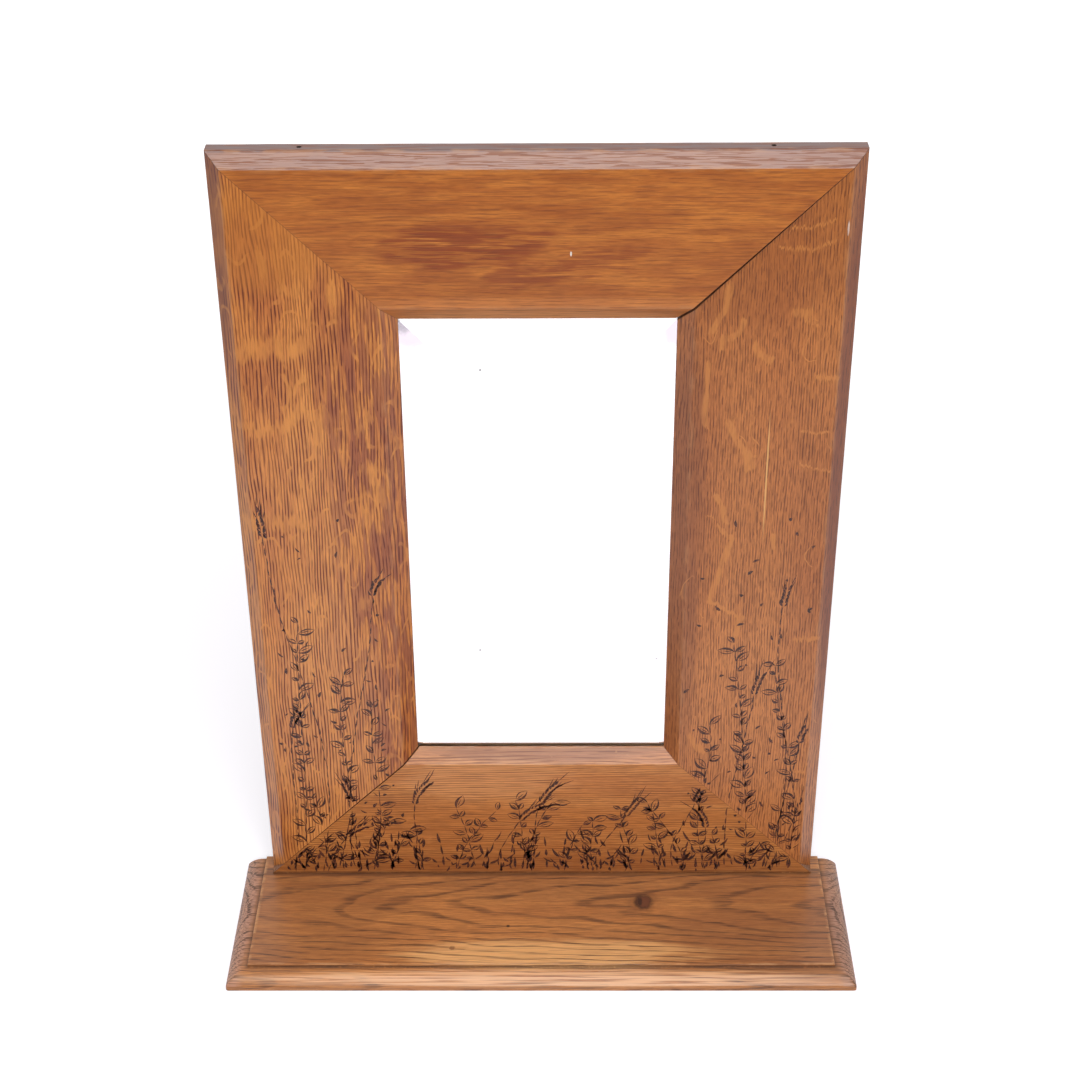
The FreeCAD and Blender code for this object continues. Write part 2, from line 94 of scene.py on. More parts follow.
sight = Vector((math.sin(YAW) * math.cos(PITCH), math.cos(YAW) * math.cos(PITCH), -math.sin(PITCH)))
level = sight.to_track_quat("-Z", "Y")
camera.location = EYE
camera.rotation_mode = "QUATERNION"
camera.rotation_quaternion = level @ Quaternion((0, 0, 1), -ROLL)
print("camera looks along", [round(v, 3) for v in sight])

# %% [markdown]
# ## Helpers for shader nodes
#
# A material is a small network of nodes, and building one by hand takes many similar lines. `put` adds a
# node, sets its plain values and links the inputs that are given as sockets. The others are the nodes used
# most: `calc` is one step of arithmetic, `vec` the same on vectors, `rise` a soft step from 0 to 1, and
# `over` one colour laid over another through a mask.

# %% Node helpers
def put(tree, kind, label, inputs=None, **settings):
    """Add a shader node. Inputs are plain values or sockets, by name or by number."""
    made = tree.nodes.new("ShaderNode" + kind)
    made.label = label
    for name, value in settings.items():
        setattr(made, name, value)
    for key, value in (inputs or {}).items():
        if isinstance(value, bpy.types.NodeSocket):
            tree.links.new(value, made.inputs[key])
        else:
            made.inputs[key].default_value = value
    return made


def calc(tree, operation, first, second=0.0, label="sum"):
    """One step of arithmetic on numbers."""
    return put(tree, "Math", label, {0: first, 1: second}, operation=operation).outputs[0]


def vec(tree, operation, first, second=(0.0, 0.0, 0.0), label="vector"):
    """One step of arithmetic on vectors. A length, a distance or a dot product is a number."""
    made = put(tree, "VectorMath", label, {0: first, 1: second}, operation=operation)
    return made.outputs["Value" if operation in ("LENGTH", "DISTANCE", "DOT_PRODUCT") else "Vector"]


def rise(tree, value, low, high, label="soft step"):
    """0 below low, 1 above high, and a smooth rise between them. With low above high it falls."""
    limits = {"Value": value, "From Min": low, "From Max": high}
    return put(tree, "MapRange", label, limits, interpolation_type="SMOOTHSTEP").outputs[0]


def at_least(tree, mask, least, label):
    """A mask that never falls below a given share."""
    return put(tree, "MapRange", label, {"Value": mask, "To Min": least}).outputs[0]


def over(tree, mask, below, above, label="layer"):
    """Lay one colour over another where the mask is 1."""
    return put(tree, "Mix", label, {0: mask, 6: below, 7: above}, data_type="RGBA").outputs[2]


def tint(red, green, blue):
    """A colour given as a screen shows it, 0 to 255, as the linear colour that a shader needs."""
    def linear(shown):
        shown /= 255
        return shown / 12.92 if shown <= 0.04045 else ((shown + 0.055) / 1.055) ** 2.4
    return (linear(red), linear(green), linear(blue), 1.0)


WHITE = tint(255, 255, 255)
print("tint of white:", WHITE)

# %% [markdown]
# ## The white sheet and the light
#
# The mirror stands on a white paper sheet that fills the picture. A floor lit until it is white would also
# burn out the oak, so the sheet is a plain pale surface, and a weak glow lifts it to white only for what
# the camera sees, directly or in the glass and varnish. The glow grows slowly towards the far end, so the
# mirror's soft shadow still shows.

# %% White sheet
SHEET = {"left": -1.5, "right": 1.5, "front": -1.0, "back": 4.0}

sheet_mesh = bpy.data.meshes.new("white_sheet")
sheet_corners = [
    (SHEET["left"], SHEET["front"], 0), (SHEET["right"], SHEET["front"], 0),
    (SHEET["right"], SHEET["back"], 0), (SHEET["left"], SHEET["back"], 0),
]
sheet_mesh.from_pydata(sheet_corners, [], [(0, 1, 2, 3)])
sheet = bpy.data.objects.new("white_sheet", sheet_mesh)
bpy.context.scene.collection.objects.link(sheet)
sheet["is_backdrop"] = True
print("sheet:", SHEET)

# %% [markdown]
# The paper itself is matt. A Light Path node tells what kind of ray asks for its colour, so that the glow is
# there for rays from the camera, mirrored rays and rays through glass, and adds no light to the oak.

# %% White paper
GLOW_GROWS = (0.2, 1.6)
NEAR_GLOW, FAR_GLOW = 0.42, 0.85


def seen(tree):
    """1 for rays from the camera, directly or by way of a mirror or a glass, and 0 for the light itself."""
    path = put(tree, "LightPath", "kind of ray").outputs
    direct = calc(tree, "MAXIMUM", path["Is Camera Ray"], path["Is Glossy Ray"], "seen or mirrored")
    return calc(tree, "MAXIMUM", direct, path["Is Transmission Ray"], "or through glass")


def new_material(name):
    """A material with only its output node, and that node's surface socket."""
    material = bpy.data.materials.new(name)
    material.use_nodes = True
    material.node_tree.nodes.clear()
    output = put(material.node_tree, "OutputMaterial", "output")
    return material, material.node_tree, output.inputs["Surface"]


def place_on_piece(tree):
    """The place on a piece in metres."""
    return put(tree, "TexCoord", "place on the piece").outputs["Object"]


paper, tree, surface = new_material("white_paper")
matt = put(tree, "BsdfDiffuse", "matt paper", {"Color": tint(232, 229, 236)})
back_and_forth = put(tree, "SeparateXYZ", "front to back", {0: place_on_piece(tree)}).outputs["Y"]
far = rise(tree, back_and_forth, *GLOW_GROWS, "far end")
lift = {"Value": far, "To Min": NEAR_GLOW, "To Max": FAR_GLOW}
lift = put(tree, "MapRange", "more glow far off", lift).outputs[0]
glow_level = calc(tree, "MULTIPLY", seen(tree), lift, "glow level")
glow = put(tree, "Emission", "lift to white", {"Strength": glow_level})
both = put(tree, "AddShader", "paper and glow", {0: matt.outputs[0], 1: glow.outputs[0]})
tree.links.new(both.outputs[0], surface)
sheet.data.materials.append(paper)
print("glow of the paper:", NEAR_GLOW, "to", FAR_GLOW)

# %% [markdown]
# The world is the rest of the studio. The camera sees plain white. Varnish sees white behind the mirror and
# a dim room in front of it, which is why the lower boards have a pale sheen from the sheet and the top
# board hasn't. In the glass that room is a pale grey, so that the mirror stays light from every side. As a
# light, the world is a gentle fill.

# %% World
FILL = 0.42
DIM_ROOM, PALE_ROOM = tint(64, 60, 62), tint(224, 222, 226)
ROOM_TO_BACKDROP = (-0.75, 0.05)

world = bpy.data.worlds.new("studio")
bpy.context.scene.world = world
world.use_nodes = True
tree = world.node_tree
tree.nodes.clear()
direction = put(tree, "TexCoord", "direction").outputs["Generated"]
depth = put(tree, "SeparateXYZ", "front to back", {0: direction}).outputs["Y"]
path = put(tree, "LightPath", "kind of ray").outputs
dim = over(tree, path["Is Transmission Ray"], DIM_ROOM, PALE_ROOM, "dim, but pale in glass")
room = over(tree, rise(tree, depth, *ROOM_TO_BACKDROP), dim, WHITE, "dim room, white backdrop")
backdrop = over(tree, path["Is Camera Ray"], room, WHITE, "white for the camera")
strength = at_least(tree, seen(tree), FILL, "fill or white")
shine = put(tree, "Background", "studio", {"Color": backdrop, "Strength": strength})
put(tree, "OutputWorld", "output", {"Surface": shine.outputs[0]})
print("world fill:", FILL)

# %% [markdown]
# Two soft boxes do the lighting. One stands in front, higher than the camera, and lights the faces. The
# other hangs above the mirror. The chamfer along the top is turned so that it mirrors the upper box, and
# takes its pale sheen.

# %% Soft boxes
def soft_box(name, place, target, width, height, watts):
    """A flat lamp of this size in metres, turned to a target."""
    data = bpy.data.lights.new(name, "AREA")
    data.shape = "RECTANGLE"
    data.size = width
    data.size_y = height
    data.energy = watts
    lamp = bpy.data.objects.new(name, data)
    lamp.location = place
    lamp.rotation_mode = "QUATERNION"
    lamp.rotation_quaternion = (Vector(target) - Vector(place)).to_track_quat("-Z", "Y")
    bpy.context.scene.collection.objects.link(lamp)
    return lamp


front_box = soft_box("front_box", (0.25, -2.0, 1.75), (0.0, 0.05, 0.30), 1.3, 1.3, 35)
top_box = soft_box("top_box", (0.0, -0.45, 1.95), (0.0, 0.0, 0.30), 1.3, 1.1, 16)
bpy.context.scene.view_settings.view_transform = "Standard"
print("lamps:", [(lamp.name, lamp.data.energy) for lamp in (front_box, top_box)])

# %% [markdown]
# ## Oak, one effect at a time
#
# Oak shows three things at once. Pores are short dark streaks along the grain. Growth rings are bands about
# the heart of the tree, which look like straight lines on a quarter-sawn face and like tall arches on a
# flat-sawn one. Rays are pale, smooth flecks that cross the pores. Each is a node group, so every board can
# use it with its own sizes.
#
# All groups read a place in the board in millimetres: X runs along the grain, Y across the face and Z
# through the thickness. The pattern then fills the board as real grain does, and goes on round each edge.

# %% Node groups
def new_group(name, vectors, numbers, masks):
    """An empty node group with its sockets. Returns the group, what it is given and what it gives."""
    group = bpy.data.node_groups.new(name, "ShaderNodeTree")
    for labels, kind in ((vectors, "Vector"), (numbers, "Float")):
        for label in labels:
            group.interface.new_socket(label, in_out="INPUT", socket_type="NodeSocket" + kind)
    for label in masks:
        group.interface.new_socket(label, in_out="OUTPUT", socket_type="NodeSocketFloat")
    given = group.nodes.new("NodeGroupInput").outputs
    gives = group.nodes.new("NodeGroupOutput").inputs
    return group, given, gives


def stretched_noise(tree, place, along, across, detail, label):
    """Noise whose blobs are as long and as wide as asked."""
    size = put(tree, "CombineXYZ", "blob size", {"X": along, "Y": across, "Z": across}).outputs[0]
    scaled = vec(tree, "DIVIDE", place, size, "in blobs")
    return put(tree, "TexNoise", label, {"Vector": scaled, "Scale": 1.0, "Detail": detail, "Roughness": 0.5})


STREAK_SIZES = ("Along", "Across", "Detail", "Threshold", "Softness")
streaks, given, gives = new_group("grain_streaks", ["Vector"], STREAK_SIZES, ["Mask"])
sizes = given["Along"], given["Across"], given["Detail"]
blobs = stretched_noise(streaks, given["Vector"], *sizes, "streaks").outputs[0]
full = calc(streaks, "ADD", given["Threshold"], given["Softness"], "full strength")
streaks.links.new(rise(streaks, blobs, given["Threshold"], full), gives["Mask"])
print("group:", streaks.name)

# %% [markdown]
# Growth rings are the distance from the heart of the tree, counted in ring widths. A slow noise bends them,
# and a lean tilts the heart away from the board's face, which is what makes arches on a flat-sawn board.
# Each ring starts with a sharp dark band of early wood and fades out.

# %% Growth rings
MIDDLE = (0.5, 0.5, 0.5)
SLOW_BENDS, RIPPLES, RIPPLE_SHARE = (140.0, 45.0, 1.0), (44.0, 12.0, 0.0), 0.4
RING_SIZES = ("Heart", "Lean", "Width", "Share", "Wobble")
rings, given, gives = new_group("growth_rings", ["Vector", "Heart"], RING_SIZES[1:], ["Early"])


def shift_in_mm(tree, place, along, across, detail, reach, label):
    """A noise as a shift to all sides, as far as its reach in mm."""
    shift = stretched_noise(tree, place, along, across, detail, label).outputs["Color"]
    return vec(tree, "MULTIPLY", vec(tree, "SUBTRACT", shift, MIDDLE), reach, label + " in mm")


bends = shift_in_mm(rings, given["Vector"], *SLOW_BENDS, given["Wobble"], "slow bends")
small = calc(rings, "MULTIPLY", given["Wobble"], RIPPLE_SHARE, "smaller than the bends")
ripples = shift_in_mm(rings, given["Vector"], *RIPPLES, small, "ripples")
bent = vec(rings, "ADD", given["Vector"], vec(rings, "ADD", bends, ripples), "bent place")
place = put(rings, "SeparateXYZ", "from the heart", {0: vec(rings, "SUBTRACT", bent, given["Heart"])}).outputs
leant = calc(rings, "MULTIPLY", place["X"], given["Lean"], "leaning heart")
deep = calc(rings, "ADD", place["Z"], leant, "depth to the heart")
across_trunk = put(rings, "CombineXYZ", "across the trunk", {"X": place["Y"], "Y": deep}).outputs[0]
count = calc(rings, "DIVIDE", vec(rings, "LENGTH", across_trunk), given["Width"], "count of rings")
phase = calc(rings, "FRACT", count, 0.0, "place in the ring")
fade = rise(rings, phase, given["Share"], calc(rings, "MULTIPLY", given["Share"], 0.5), "fades out")
early = calc(rings, "MULTIPLY", fade, rise(rings, phase, 0.0, 0.10, "starts sharply"), "early wood")
rings.links.new(early, gives["Early"])
print("group:", rings.name)

# %% [markdown]
# A ray fleck is a thin, wavy, broken ribbon. A noise has level lines like the contours on a map, and a
# narrow band about one of them is just such a ribbon. A second noise breaks it up.

# %% Ray flecks
ELSEWHERE = (371.0, 83.0, 29.0)
RIBBON_SIZES = ("Along", "Across", "Width", "Threshold")
flecks, given, gives = new_group("ray_flecks", ["Vector"], RIBBON_SIZES, ["Mask"])
sizes = given["Along"], given["Across"]
contours = stretched_noise(flecks, given["Vector"], *sizes, 0.4, "contours").outputs[0]
off_line = calc(flecks, "ABSOLUTE", calc(flecks, "SUBTRACT", contours, 0.5), 0.0, "distance from the contour")
ribbon = rise(flecks, off_line, given["Width"], calc(flecks, "MULTIPLY", given["Width"], 0.45), "ribbon")
shifted = vec(flecks, "ADD", given["Vector"], ELSEWHERE, "elsewhere")
gate = stretched_noise(flecks, shifted, *sizes, 0.0, "breaks").outputs[0]
gate_full = calc(flecks, "ADD", given["Threshold"], 0.08)
broken = calc(flecks, "MULTIPLY", ribbon, rise(flecks, gate, given["Threshold"], gate_full), "broken ribbon")
flecks.links.new(broken, gives["Mask"])
print("group:", flecks.name)

# %% [markdown]
# Where a ray is cut almost flat, it shows as a flash: one wide pale band. `ray_flash` is the mask of one
# straight run of it, from the distance to the run. A chain of runs makes a bent flash, and a board has only
# a few, so they are listed one by one.

# %% Ray flashes
ON_FACE = (1.0, 1.0, 0.0)
FLASH_SIZES = ("Start", "End", "Width")
flash, given, gives = new_group("ray_flash", ["Vector", "Start", "End"], ["Width"], ["Mask"])
off_start = vec(flash, "SUBTRACT", given["Vector"], given["Start"], "from the start")
off_start = vec(flash, "MULTIPLY", off_start, ON_FACE, "at any depth")
run = vec(flash, "SUBTRACT", given["End"], given["Start"], "run")
square_of_run = vec(flash, "DOT_PRODUCT", run, run)
along = calc(flash, "DIVIDE", vec(flash, "DOT_PRODUCT", off_start, run), square_of_run, "share")
inside = put(flash, "Clamp", "between the ends", {"Value": along}).outputs[0]
gap = vec(flash, "DISTANCE", off_start, vec(flash, "MULTIPLY", run, inside), "distance to the run")
flash.links.new(rise(flash, gap, given["Width"], calc(flash, "MULTIPLY", given["Width"], 0.5)), gives["Mask"])
print("group:", flash.name)

# %% [markdown]
# Old wood has single marks too: a stain, a knot, a worm hole, a chip of white paint. `spot` is an oval mask
# about one place, with a ragged edge.

# %% Single marks
SPOT_SIZES = ("Centre", "Size", "Ragged")
spot, given, gives = new_group("spot", ["Vector", "Centre", "Size"], ["Ragged"], ["Mask"])
oval = vec(spot, "DIVIDE", vec(spot, "SUBTRACT", given["Vector"], given["Centre"]), given["Size"], "in radii")
rough_edge = put(spot, "TexNoise", "ragged edge", {"Vector": oval, "Scale": 2.3, "Detail": 4.0}).outputs[0]
ragged = calc(spot, "MULTIPLY", calc(spot, "SUBTRACT", rough_edge, 0.5), given["Ragged"], "raggedness")
spot.links.new(rise(spot, calc(spot, "ADD", vec(spot, "LENGTH", oval), ragged), 1.0, 0.55), gives["Mask"])
print("group:", spot.name)

# %% [markdown]
# Varnish wears through on an arris, and dirt gathers in corners. The meshes carry both as numbers on their
# vertices: one for arrises, and one for dirt together with painted shade in the shelf's quirk and along the
# frame's foot. This group breaks them up with noise, so that wear looks rubbed and not drawn.

# %% Wear, dirt and painted shade
RUBBED_PATCHES = (16.0, 5.0, 4.0)
wear, given, gives = new_group("wear_dirt_and_shade", ["Vector"], ["Arris", "Dirt_And_Shade"], ["Worn", "Dirty_And_Shaded"])
patches = stretched_noise(wear, given["Vector"], *RUBBED_PATCHES, "rubbed patches").outputs[0]
worn_through = calc(wear, "MULTIPLY", given["Arris"], rise(wear, patches, 0.40, 0.62))
crumbs = put(wear, "TexNoise", "crumbs", {"Vector": given["Vector"], "Scale": 0.35, "Detail": 5.0}).outputs[0]
dirty_and_shaded = calc(wear, "MULTIPLY", given["Dirt_And_Shade"], rise(wear, crumbs, 0.15, 0.50))
wear.links.new(worn_through, gives["Worn"])
wear.links.new(dirty_and_shaded, gives["Dirty_And_Shaded"])
print("group:", wear.name)

# %% [markdown]
# ## One recipe for every board
#
# Each board came from its own part of the tree, so each has its own colours and sizes, called its look, in
# one recipe. `Wood` holds what every layer of the recipe needs: the node tree, the look, the place in the
# board and the colour so far. The place is turned so that X runs along the grain. A shift in the log gives
# boards with like sizes another figure.

# %% Wood
GRAIN_TURN = {
    "along X, upright": (math.radians(-90), 0.0, 0.0),
    "along Z, upright": (math.radians(90), 0.0, math.radians(90)),
    "along X, flat": (0.0, 0.0, 0.0),
}
PLAIN_LOOK = {
    "log": (0.0, 0.0, 0.0), "flashes": [], "tones": [], "marks": [], "dust_and_sheen": [],
    "wear": 0.3, "roughness": 0.30, "relief": 0.5,
}


def place_in_mm(tree, turn=(0.0, 0.0, 0.0)):
    """The place on a piece in millimetres, after a turn."""
    scaled = {0: place_on_piece(tree), "Rotation": turn, "Scale": (1000, 1000, 1000)}
    return put(tree, "Mapping", "in mm", scaled).outputs[0]


class Wood:
    """A board's material while it is being made."""

    def __init__(self, name, look):
        self.material, self.tree, self.surface = new_material(name)
        self.look = {**PLAIN_LOOK, **look}
        self.fixed = place_in_mm(self.tree, GRAIN_TURN[look["grain"]])
        self.grain = vec(self.tree, "ADD", self.fixed, self.look["log"], "this board's place in the log")
        self.colour = look["mid"]

    def effect(self, label, group, names, sizes, at=None):
        """The mask of a node group with these sizes, in the log or at another place."""
        values = {"Vector": self.grain if at is None else at, **dict(zip(names, sizes))}
        return put(self.tree, "Group", label, values, node_tree=group).outputs[0]

    def streak(self, label, *sizes, at=None):
        """The mask of streaks with these sizes."""
        return self.effect(label, streaks, STREAK_SIZES, sizes, at)

    def share(self, mask, strength):
        """A mask at part of its strength."""
        return calc(self.tree, "MULTIPLY", mask, strength, "strength")

    def lay(self, mask, strength, paint, label):
        """Lay a colour over the wood so far."""
        self.colour = over(self.tree, self.share(mask, strength), self.colour, paint, label)

    def marked(self, label, centre, size, ragged, strength, paint, soaked=None):
        """The wood so far with one mark on it, which may be soaked in along streaks of some sizes."""
        mask = self.effect(label, spot, SPOT_SIZES, (centre, size, ragged), self.fixed)
        if soaked:
            mask = calc(self.tree, "MULTIPLY", mask, self.streak("soaked along the grain", *soaked))
        return over(self.tree, self.share(mask, strength), self.colour, paint, label)


print("grain directions:", list(GRAIN_TURN))

# %% [markdown]
# The ground is where the wood's colours start: pale and dark bands, redder bands, fine fibres, and broad
# tones where a board is stained or faded. These lie under the grain, so rings and pores still show in a
# stain.

# %% Ground
FIBRES, FIBRE_STRENGTH = (9.0, 0.9, 2.0, 0.40, 0.25), 0.26


def add_ground(wood):
    """Lay the bands, the fibres and the tones. Keeps the mask of the red bands for the dashes."""
    look = wood.look
    bands = wood.streak("broad bands", *look["bands"])
    wood.colour = over(wood.tree, bands, wood.colour, look["pale"], "ground")
    wood.reddish = wood.streak("red bands", *look["red bands"])
    wood.lay(wood.reddish, look["red strength"], look["red"], "red bands")
    wood.lay(wood.streak("fibres", *FIBRES), FIBRE_STRENGTH, look["dark"], "fibres")
    for tone in look["tones"]:
        wood.colour = wood.marked(*tone)


print("ground: bands, fibres and tones")

# %% [markdown]
# Rays come in three forms: plates, thin ribbons and the flashes that are listed. A saw cuts them off along
# the fibres, so the edge of a plate or a flash has fine teeth and wanders. Real rays are patchy, and a last
# noise fades them in places.

# %% Rays
TEETH = (50.0, 0.9, 0.0, 0.2, 0.6)
WANDER, WANDER_REACH = (22.0, 9.0, 1.0), (9.0, 6.0, 0.0)
RAY_PATCHES = (16.0, 3.0, 2.0, 0.36, 0.2)


def rays_in(wood):
    """The mask of all rays in a board."""
    tree, look = wood.tree, wood.look
    teeth = wood.share(wood.streak("teeth", *TEETH), look["teeth"])
    teeth = put(tree, "CombineXYZ", "teeth along the grain", {"X": teeth}).outputs[0]
    wander = shift_in_mm(tree, wood.fixed, *WANDER, WANDER_REACH, "wandering edge")
    ragged = vec(tree, "ADD", teeth, wander, "teeth and wander")
    ray = wood.streak("ray plates", *look["plates"], at=vec(tree, "ADD", wood.grain, ragged))
    if "ribbons" in look:
        ribbon = wood.effect("ribbons", flecks, RIBBON_SIZES, look["ribbons"])
        ray = calc(tree, "MAXIMUM", ray, ribbon, "rays")
    at_edge = vec(tree, "ADD", wood.fixed, ragged)
    for width, *places in look["flashes"]:
        for start, end in zip(places, places[1:]):
            ends = (*start, 0.0), (*end, 0.0)
            one_run = wood.effect("flash", flash, FLASH_SIZES, (*ends, width), at_edge)
            ray = calc(tree, "MAXIMUM", ray, one_run, "rays")
    faint = at_least(tree, wood.streak("patches", *RAY_PATCHES), 0.4, "fades here and there")
    return calc(tree, "MULTIPLY", ray, faint, "patchy rays")


print("rays: plates, ribbons and flashes")

# %% [markdown]
# Rings and pores stop at a ray. In early wood the pores are wide and run together into dashes, which gather
# where the wood is red. Dashes and pores are kept as one mask, because varnish sinks into both.

# %% Rings and pores
def add_grain(wood):
    """Lay the rings, their dashes, the pores and the rays. Keeps the mask of what is sunk."""
    tree, look = wood.tree, wood.look
    ray = rays_in(wood)
    open_wood = calc(tree, "SUBTRACT", 1.0, wood.share(ray, look["ray strength"]), "wood between the rays")
    ring = wood.effect("rings", rings, RING_SIZES, look["rings"])
    dash = calc(tree, "MULTIPLY", ring, wood.streak("dashes in the rings", *look["dashes"]), "dashes")
    gathered = at_least(tree, wood.reddish, 0.5, "dashes gather in the red")
    dash = calc(tree, "MULTIPLY", dash, gathered, "gathered dashes")
    crowd = at_least(tree, ring, 0.35, "more pores in early wood")
    pore = calc(tree, "MULTIPLY", crowd, wood.streak("pores", *look["pores"]), "pores")
    layers = (ring, "ring tone", "red"), (dash, "dash strength", "dark"), (pore, "pore strength", "dark")
    for mask, strength, paint in layers:
        wood.lay(calc(tree, "MULTIPLY", mask, open_wood), look[strength], look[paint], "stops at rays")
    wood.lay(ray, look["ray colour"], look["ray"], "rays")
    wood.sunk = calc(tree, "MAXIMUM", pore, dash, "sunk varnish")


print("grain: rings, dashes and pores")

# %% [markdown]
# Marks lie on top of the grain. Dust is a mark that settles only on faces that look up, and leaves the
# pores dark; on the top chamfer the same layer is also a painted sheen. Then come worn arrises, and dirt
# with painted shade in creases. Pores also go into the roughness and the bump, and dirt and painted shade
# make the varnish dull.

# %% Oak recipe
DIRT_AND_SHADE = tint(62, 40, 30)
DIRT_AND_SHADE_STRENGTH, DIRT_DULLS, PORES_DULL = 0.6, 0.25, 0.08
LOOKS_UP = (0.15, 0.5)
PORE_DEPTH = 0.04 * MM


def add_marks(wood):
    """Lay the single marks, and dust and painted sheen on what looks up."""
    tree, look = wood.tree, wood.look
    for row in look["marks"]:
        wood.colour = wood.marked(*row)
    normal = put(tree, "TexCoord", "face").outputs["Normal"]
    upward = put(tree, "SeparateXYZ", "which way it faces", {0: normal}).outputs["Z"]
    # Faces that look up get dust, and on the top chamfer a painted sheen as well.
    faces_up = rise(tree, upward, *LOOKS_UP, "looks up")
    for *row, paint in look["dust_and_sheen"]:
        dust_and_sheen_colour = over(tree, rise(tree, wood.sunk, 0.15, 0.45), paint, look["dark"], "not in the pores")
        wood.colour = over(tree, faces_up, wood.colour, wood.marked(*row, dust_and_sheen_colour), "dust_and_sheen")


def coat(tree, surface, label, inputs):
    """Finish a material with one Principled shader."""
    tree.links.new(put(tree, "BsdfPrincipled", label, inputs).outputs[0], surface)


def oak(name, look):
    """A board's whole material, laid on from the ground up."""
    wood = Wood(name, look)
    add_ground(wood)
    add_grain(wood)
    add_marks(wood)
    tree, look = wood.tree, wood.look
    on_mesh = {label.title(): put(tree, "Attribute", label, attribute_name=label).outputs["Fac"]
               for label in ("arris", "dirt_and_shade")}
    worn = put(tree, "Group", "wear", {"Vector": wood.fixed, **on_mesh}, node_tree=wear).outputs
    wood.lay(worn["Worn"], look["wear"], look["worn"], "worn arrises")
    # Dirt, and painted shade in the quirk and at the frame's foot, darken the wood.
    wood.lay(worn["Dirty_And_Shaded"], DIRT_AND_SHADE_STRENGTH, DIRT_AND_SHADE, "dirt_and_shade")
    gloss = calc(tree, "ADD", look["roughness"], wood.share(wood.sunk, PORES_DULL), "roughness")
    dull = calc(tree, "ADD", gloss, wood.share(worn["Dirty_And_Shaded"], DIRT_DULLS), "dirt is dull")
    height = calc(tree, "SUBTRACT", 1.0, wood.sunk, "open pores")
    relief = {"Height": height, "Strength": look["relief"], "Distance": PORE_DEPTH}
    bump = put(tree, "Bump", "open pores", relief).outputs[0]
    coat(tree, wood.surface, "varnished wood", {"Base Color": wood.colour, "Roughness": dull, "Normal": bump})
    return wood.material


print("what a look starts from:", PLAIN_LOOK)

# %% [markdown]
# A look is read like this. Streaks (bands, pores, dashes, plates) are a length, a width, a detail, a
# threshold and a softness. Rings are the heart, a lean, a width, the share of early wood and a wobble. A
# mark is a name, a centre, its radii, raggedness, strength and colour. Sizes and places are in mm.
#
# The top rail is the plainest board: fine straight grain, a wide red stain left of the middle and a chip of
# white paint.

# %% Oak of the top rail
RED_STAIN = tint(132, 58, 34)
SOAKED = (40.0, 2.4, 2.0, 0.42, 0.10)
top_oak = oak("oak_top_rail", {
    "grain": "along X, upright",
    "pale": tint(206, 126, 56), "mid": tint(186, 108, 48), "dark": tint(104, 52, 28),
    "red": tint(158, 84, 38), "ray": tint(206, 130, 60), "worn": tint(196, 140, 90),
    "bands": (48.0, 5.0, 2.0, 0.32, 0.36),
    "red bands": (60.0, 11.0, 2.0, 0.42, 0.22), "red strength": 0.5,
    "pores": (22.0, 0.7, 1.0, 0.52, 0.06), "pore strength": 0.45,
    "rings": ((0.0, 900.0, 40.0), 0.02, 3.0, 0.6, 8.0), "ring tone": 0.1,
    "dashes": (24.0, 1.0, 1.0, 0.50, 0.10), "dash strength": 0.2,
    "plates": (7.0, 24.0, 1.0, 0.68, 0.06), "ray strength": 0.5, "ray colour": 0.12, "teeth": 9.0,
    "tones": [
        # The pale sight edge is painted light on the inner chamfer, as if bounced up from the mirror below.
        ("painted bounce light on the sight edge", (0.0, 521.0, -54.0), (125.0, 13.0, 60.0), 0.2, 0.85, tint(222, 154, 96)),
        ("pale lower edge", (0.0, 531.0, -49.0), (190.0, 13.0, 60.0), 0.6, 0.35, tint(226, 148, 86)),
        ("red stain", (-46.0, 581.0, -60.0), (84.0, 22.0, 60.0), 1.3, 0.75, RED_STAIN, SOAKED),
        ("lower stain", (-4.0, 558.0, -60.0), (44.0, 11.0, 60.0), 1.6, 0.6, RED_STAIN, SOAKED),
        ("right stain", (48.0, 571.0, -60.0), (44.0, 16.0, 60.0), 1.8, 0.5, RED_STAIN, SOAKED),
    ],
    "marks": [("white chip", (23.6, 574.5, -49.0), (0.8, 2.2, 3.0), 0.6, 0.95, tint(236, 226, 214))],
    "dust_and_sheen": [
        # The dust on the chamfer is partly a painted sheen: a lilac grey that stands for the upper box
        # mirrored in the varnish.
        ("dust on the chamfer", (0.0, 650.0, -60.0), (900.0, 30.0, 60.0), 0.2, 0.75, tint(138, 114, 108)),
        ("grime on the top edge", (0.0, 648.5, -66.0), (900.0, 3.4, 60.0), 0.1, 0.75, tint(84, 64, 66)),
    ],
    "relief": 0.45,
})
print("made", top_oak.name)

# %% [markdown]
# The left stile is the boldest: red dashes in close rows, and broad pale flashes that lie across them like
# bars. Towards the glass the wood goes purple-brown, and thin ribbons of ray wander through it. A flash is
# a width and the places that its runs join.

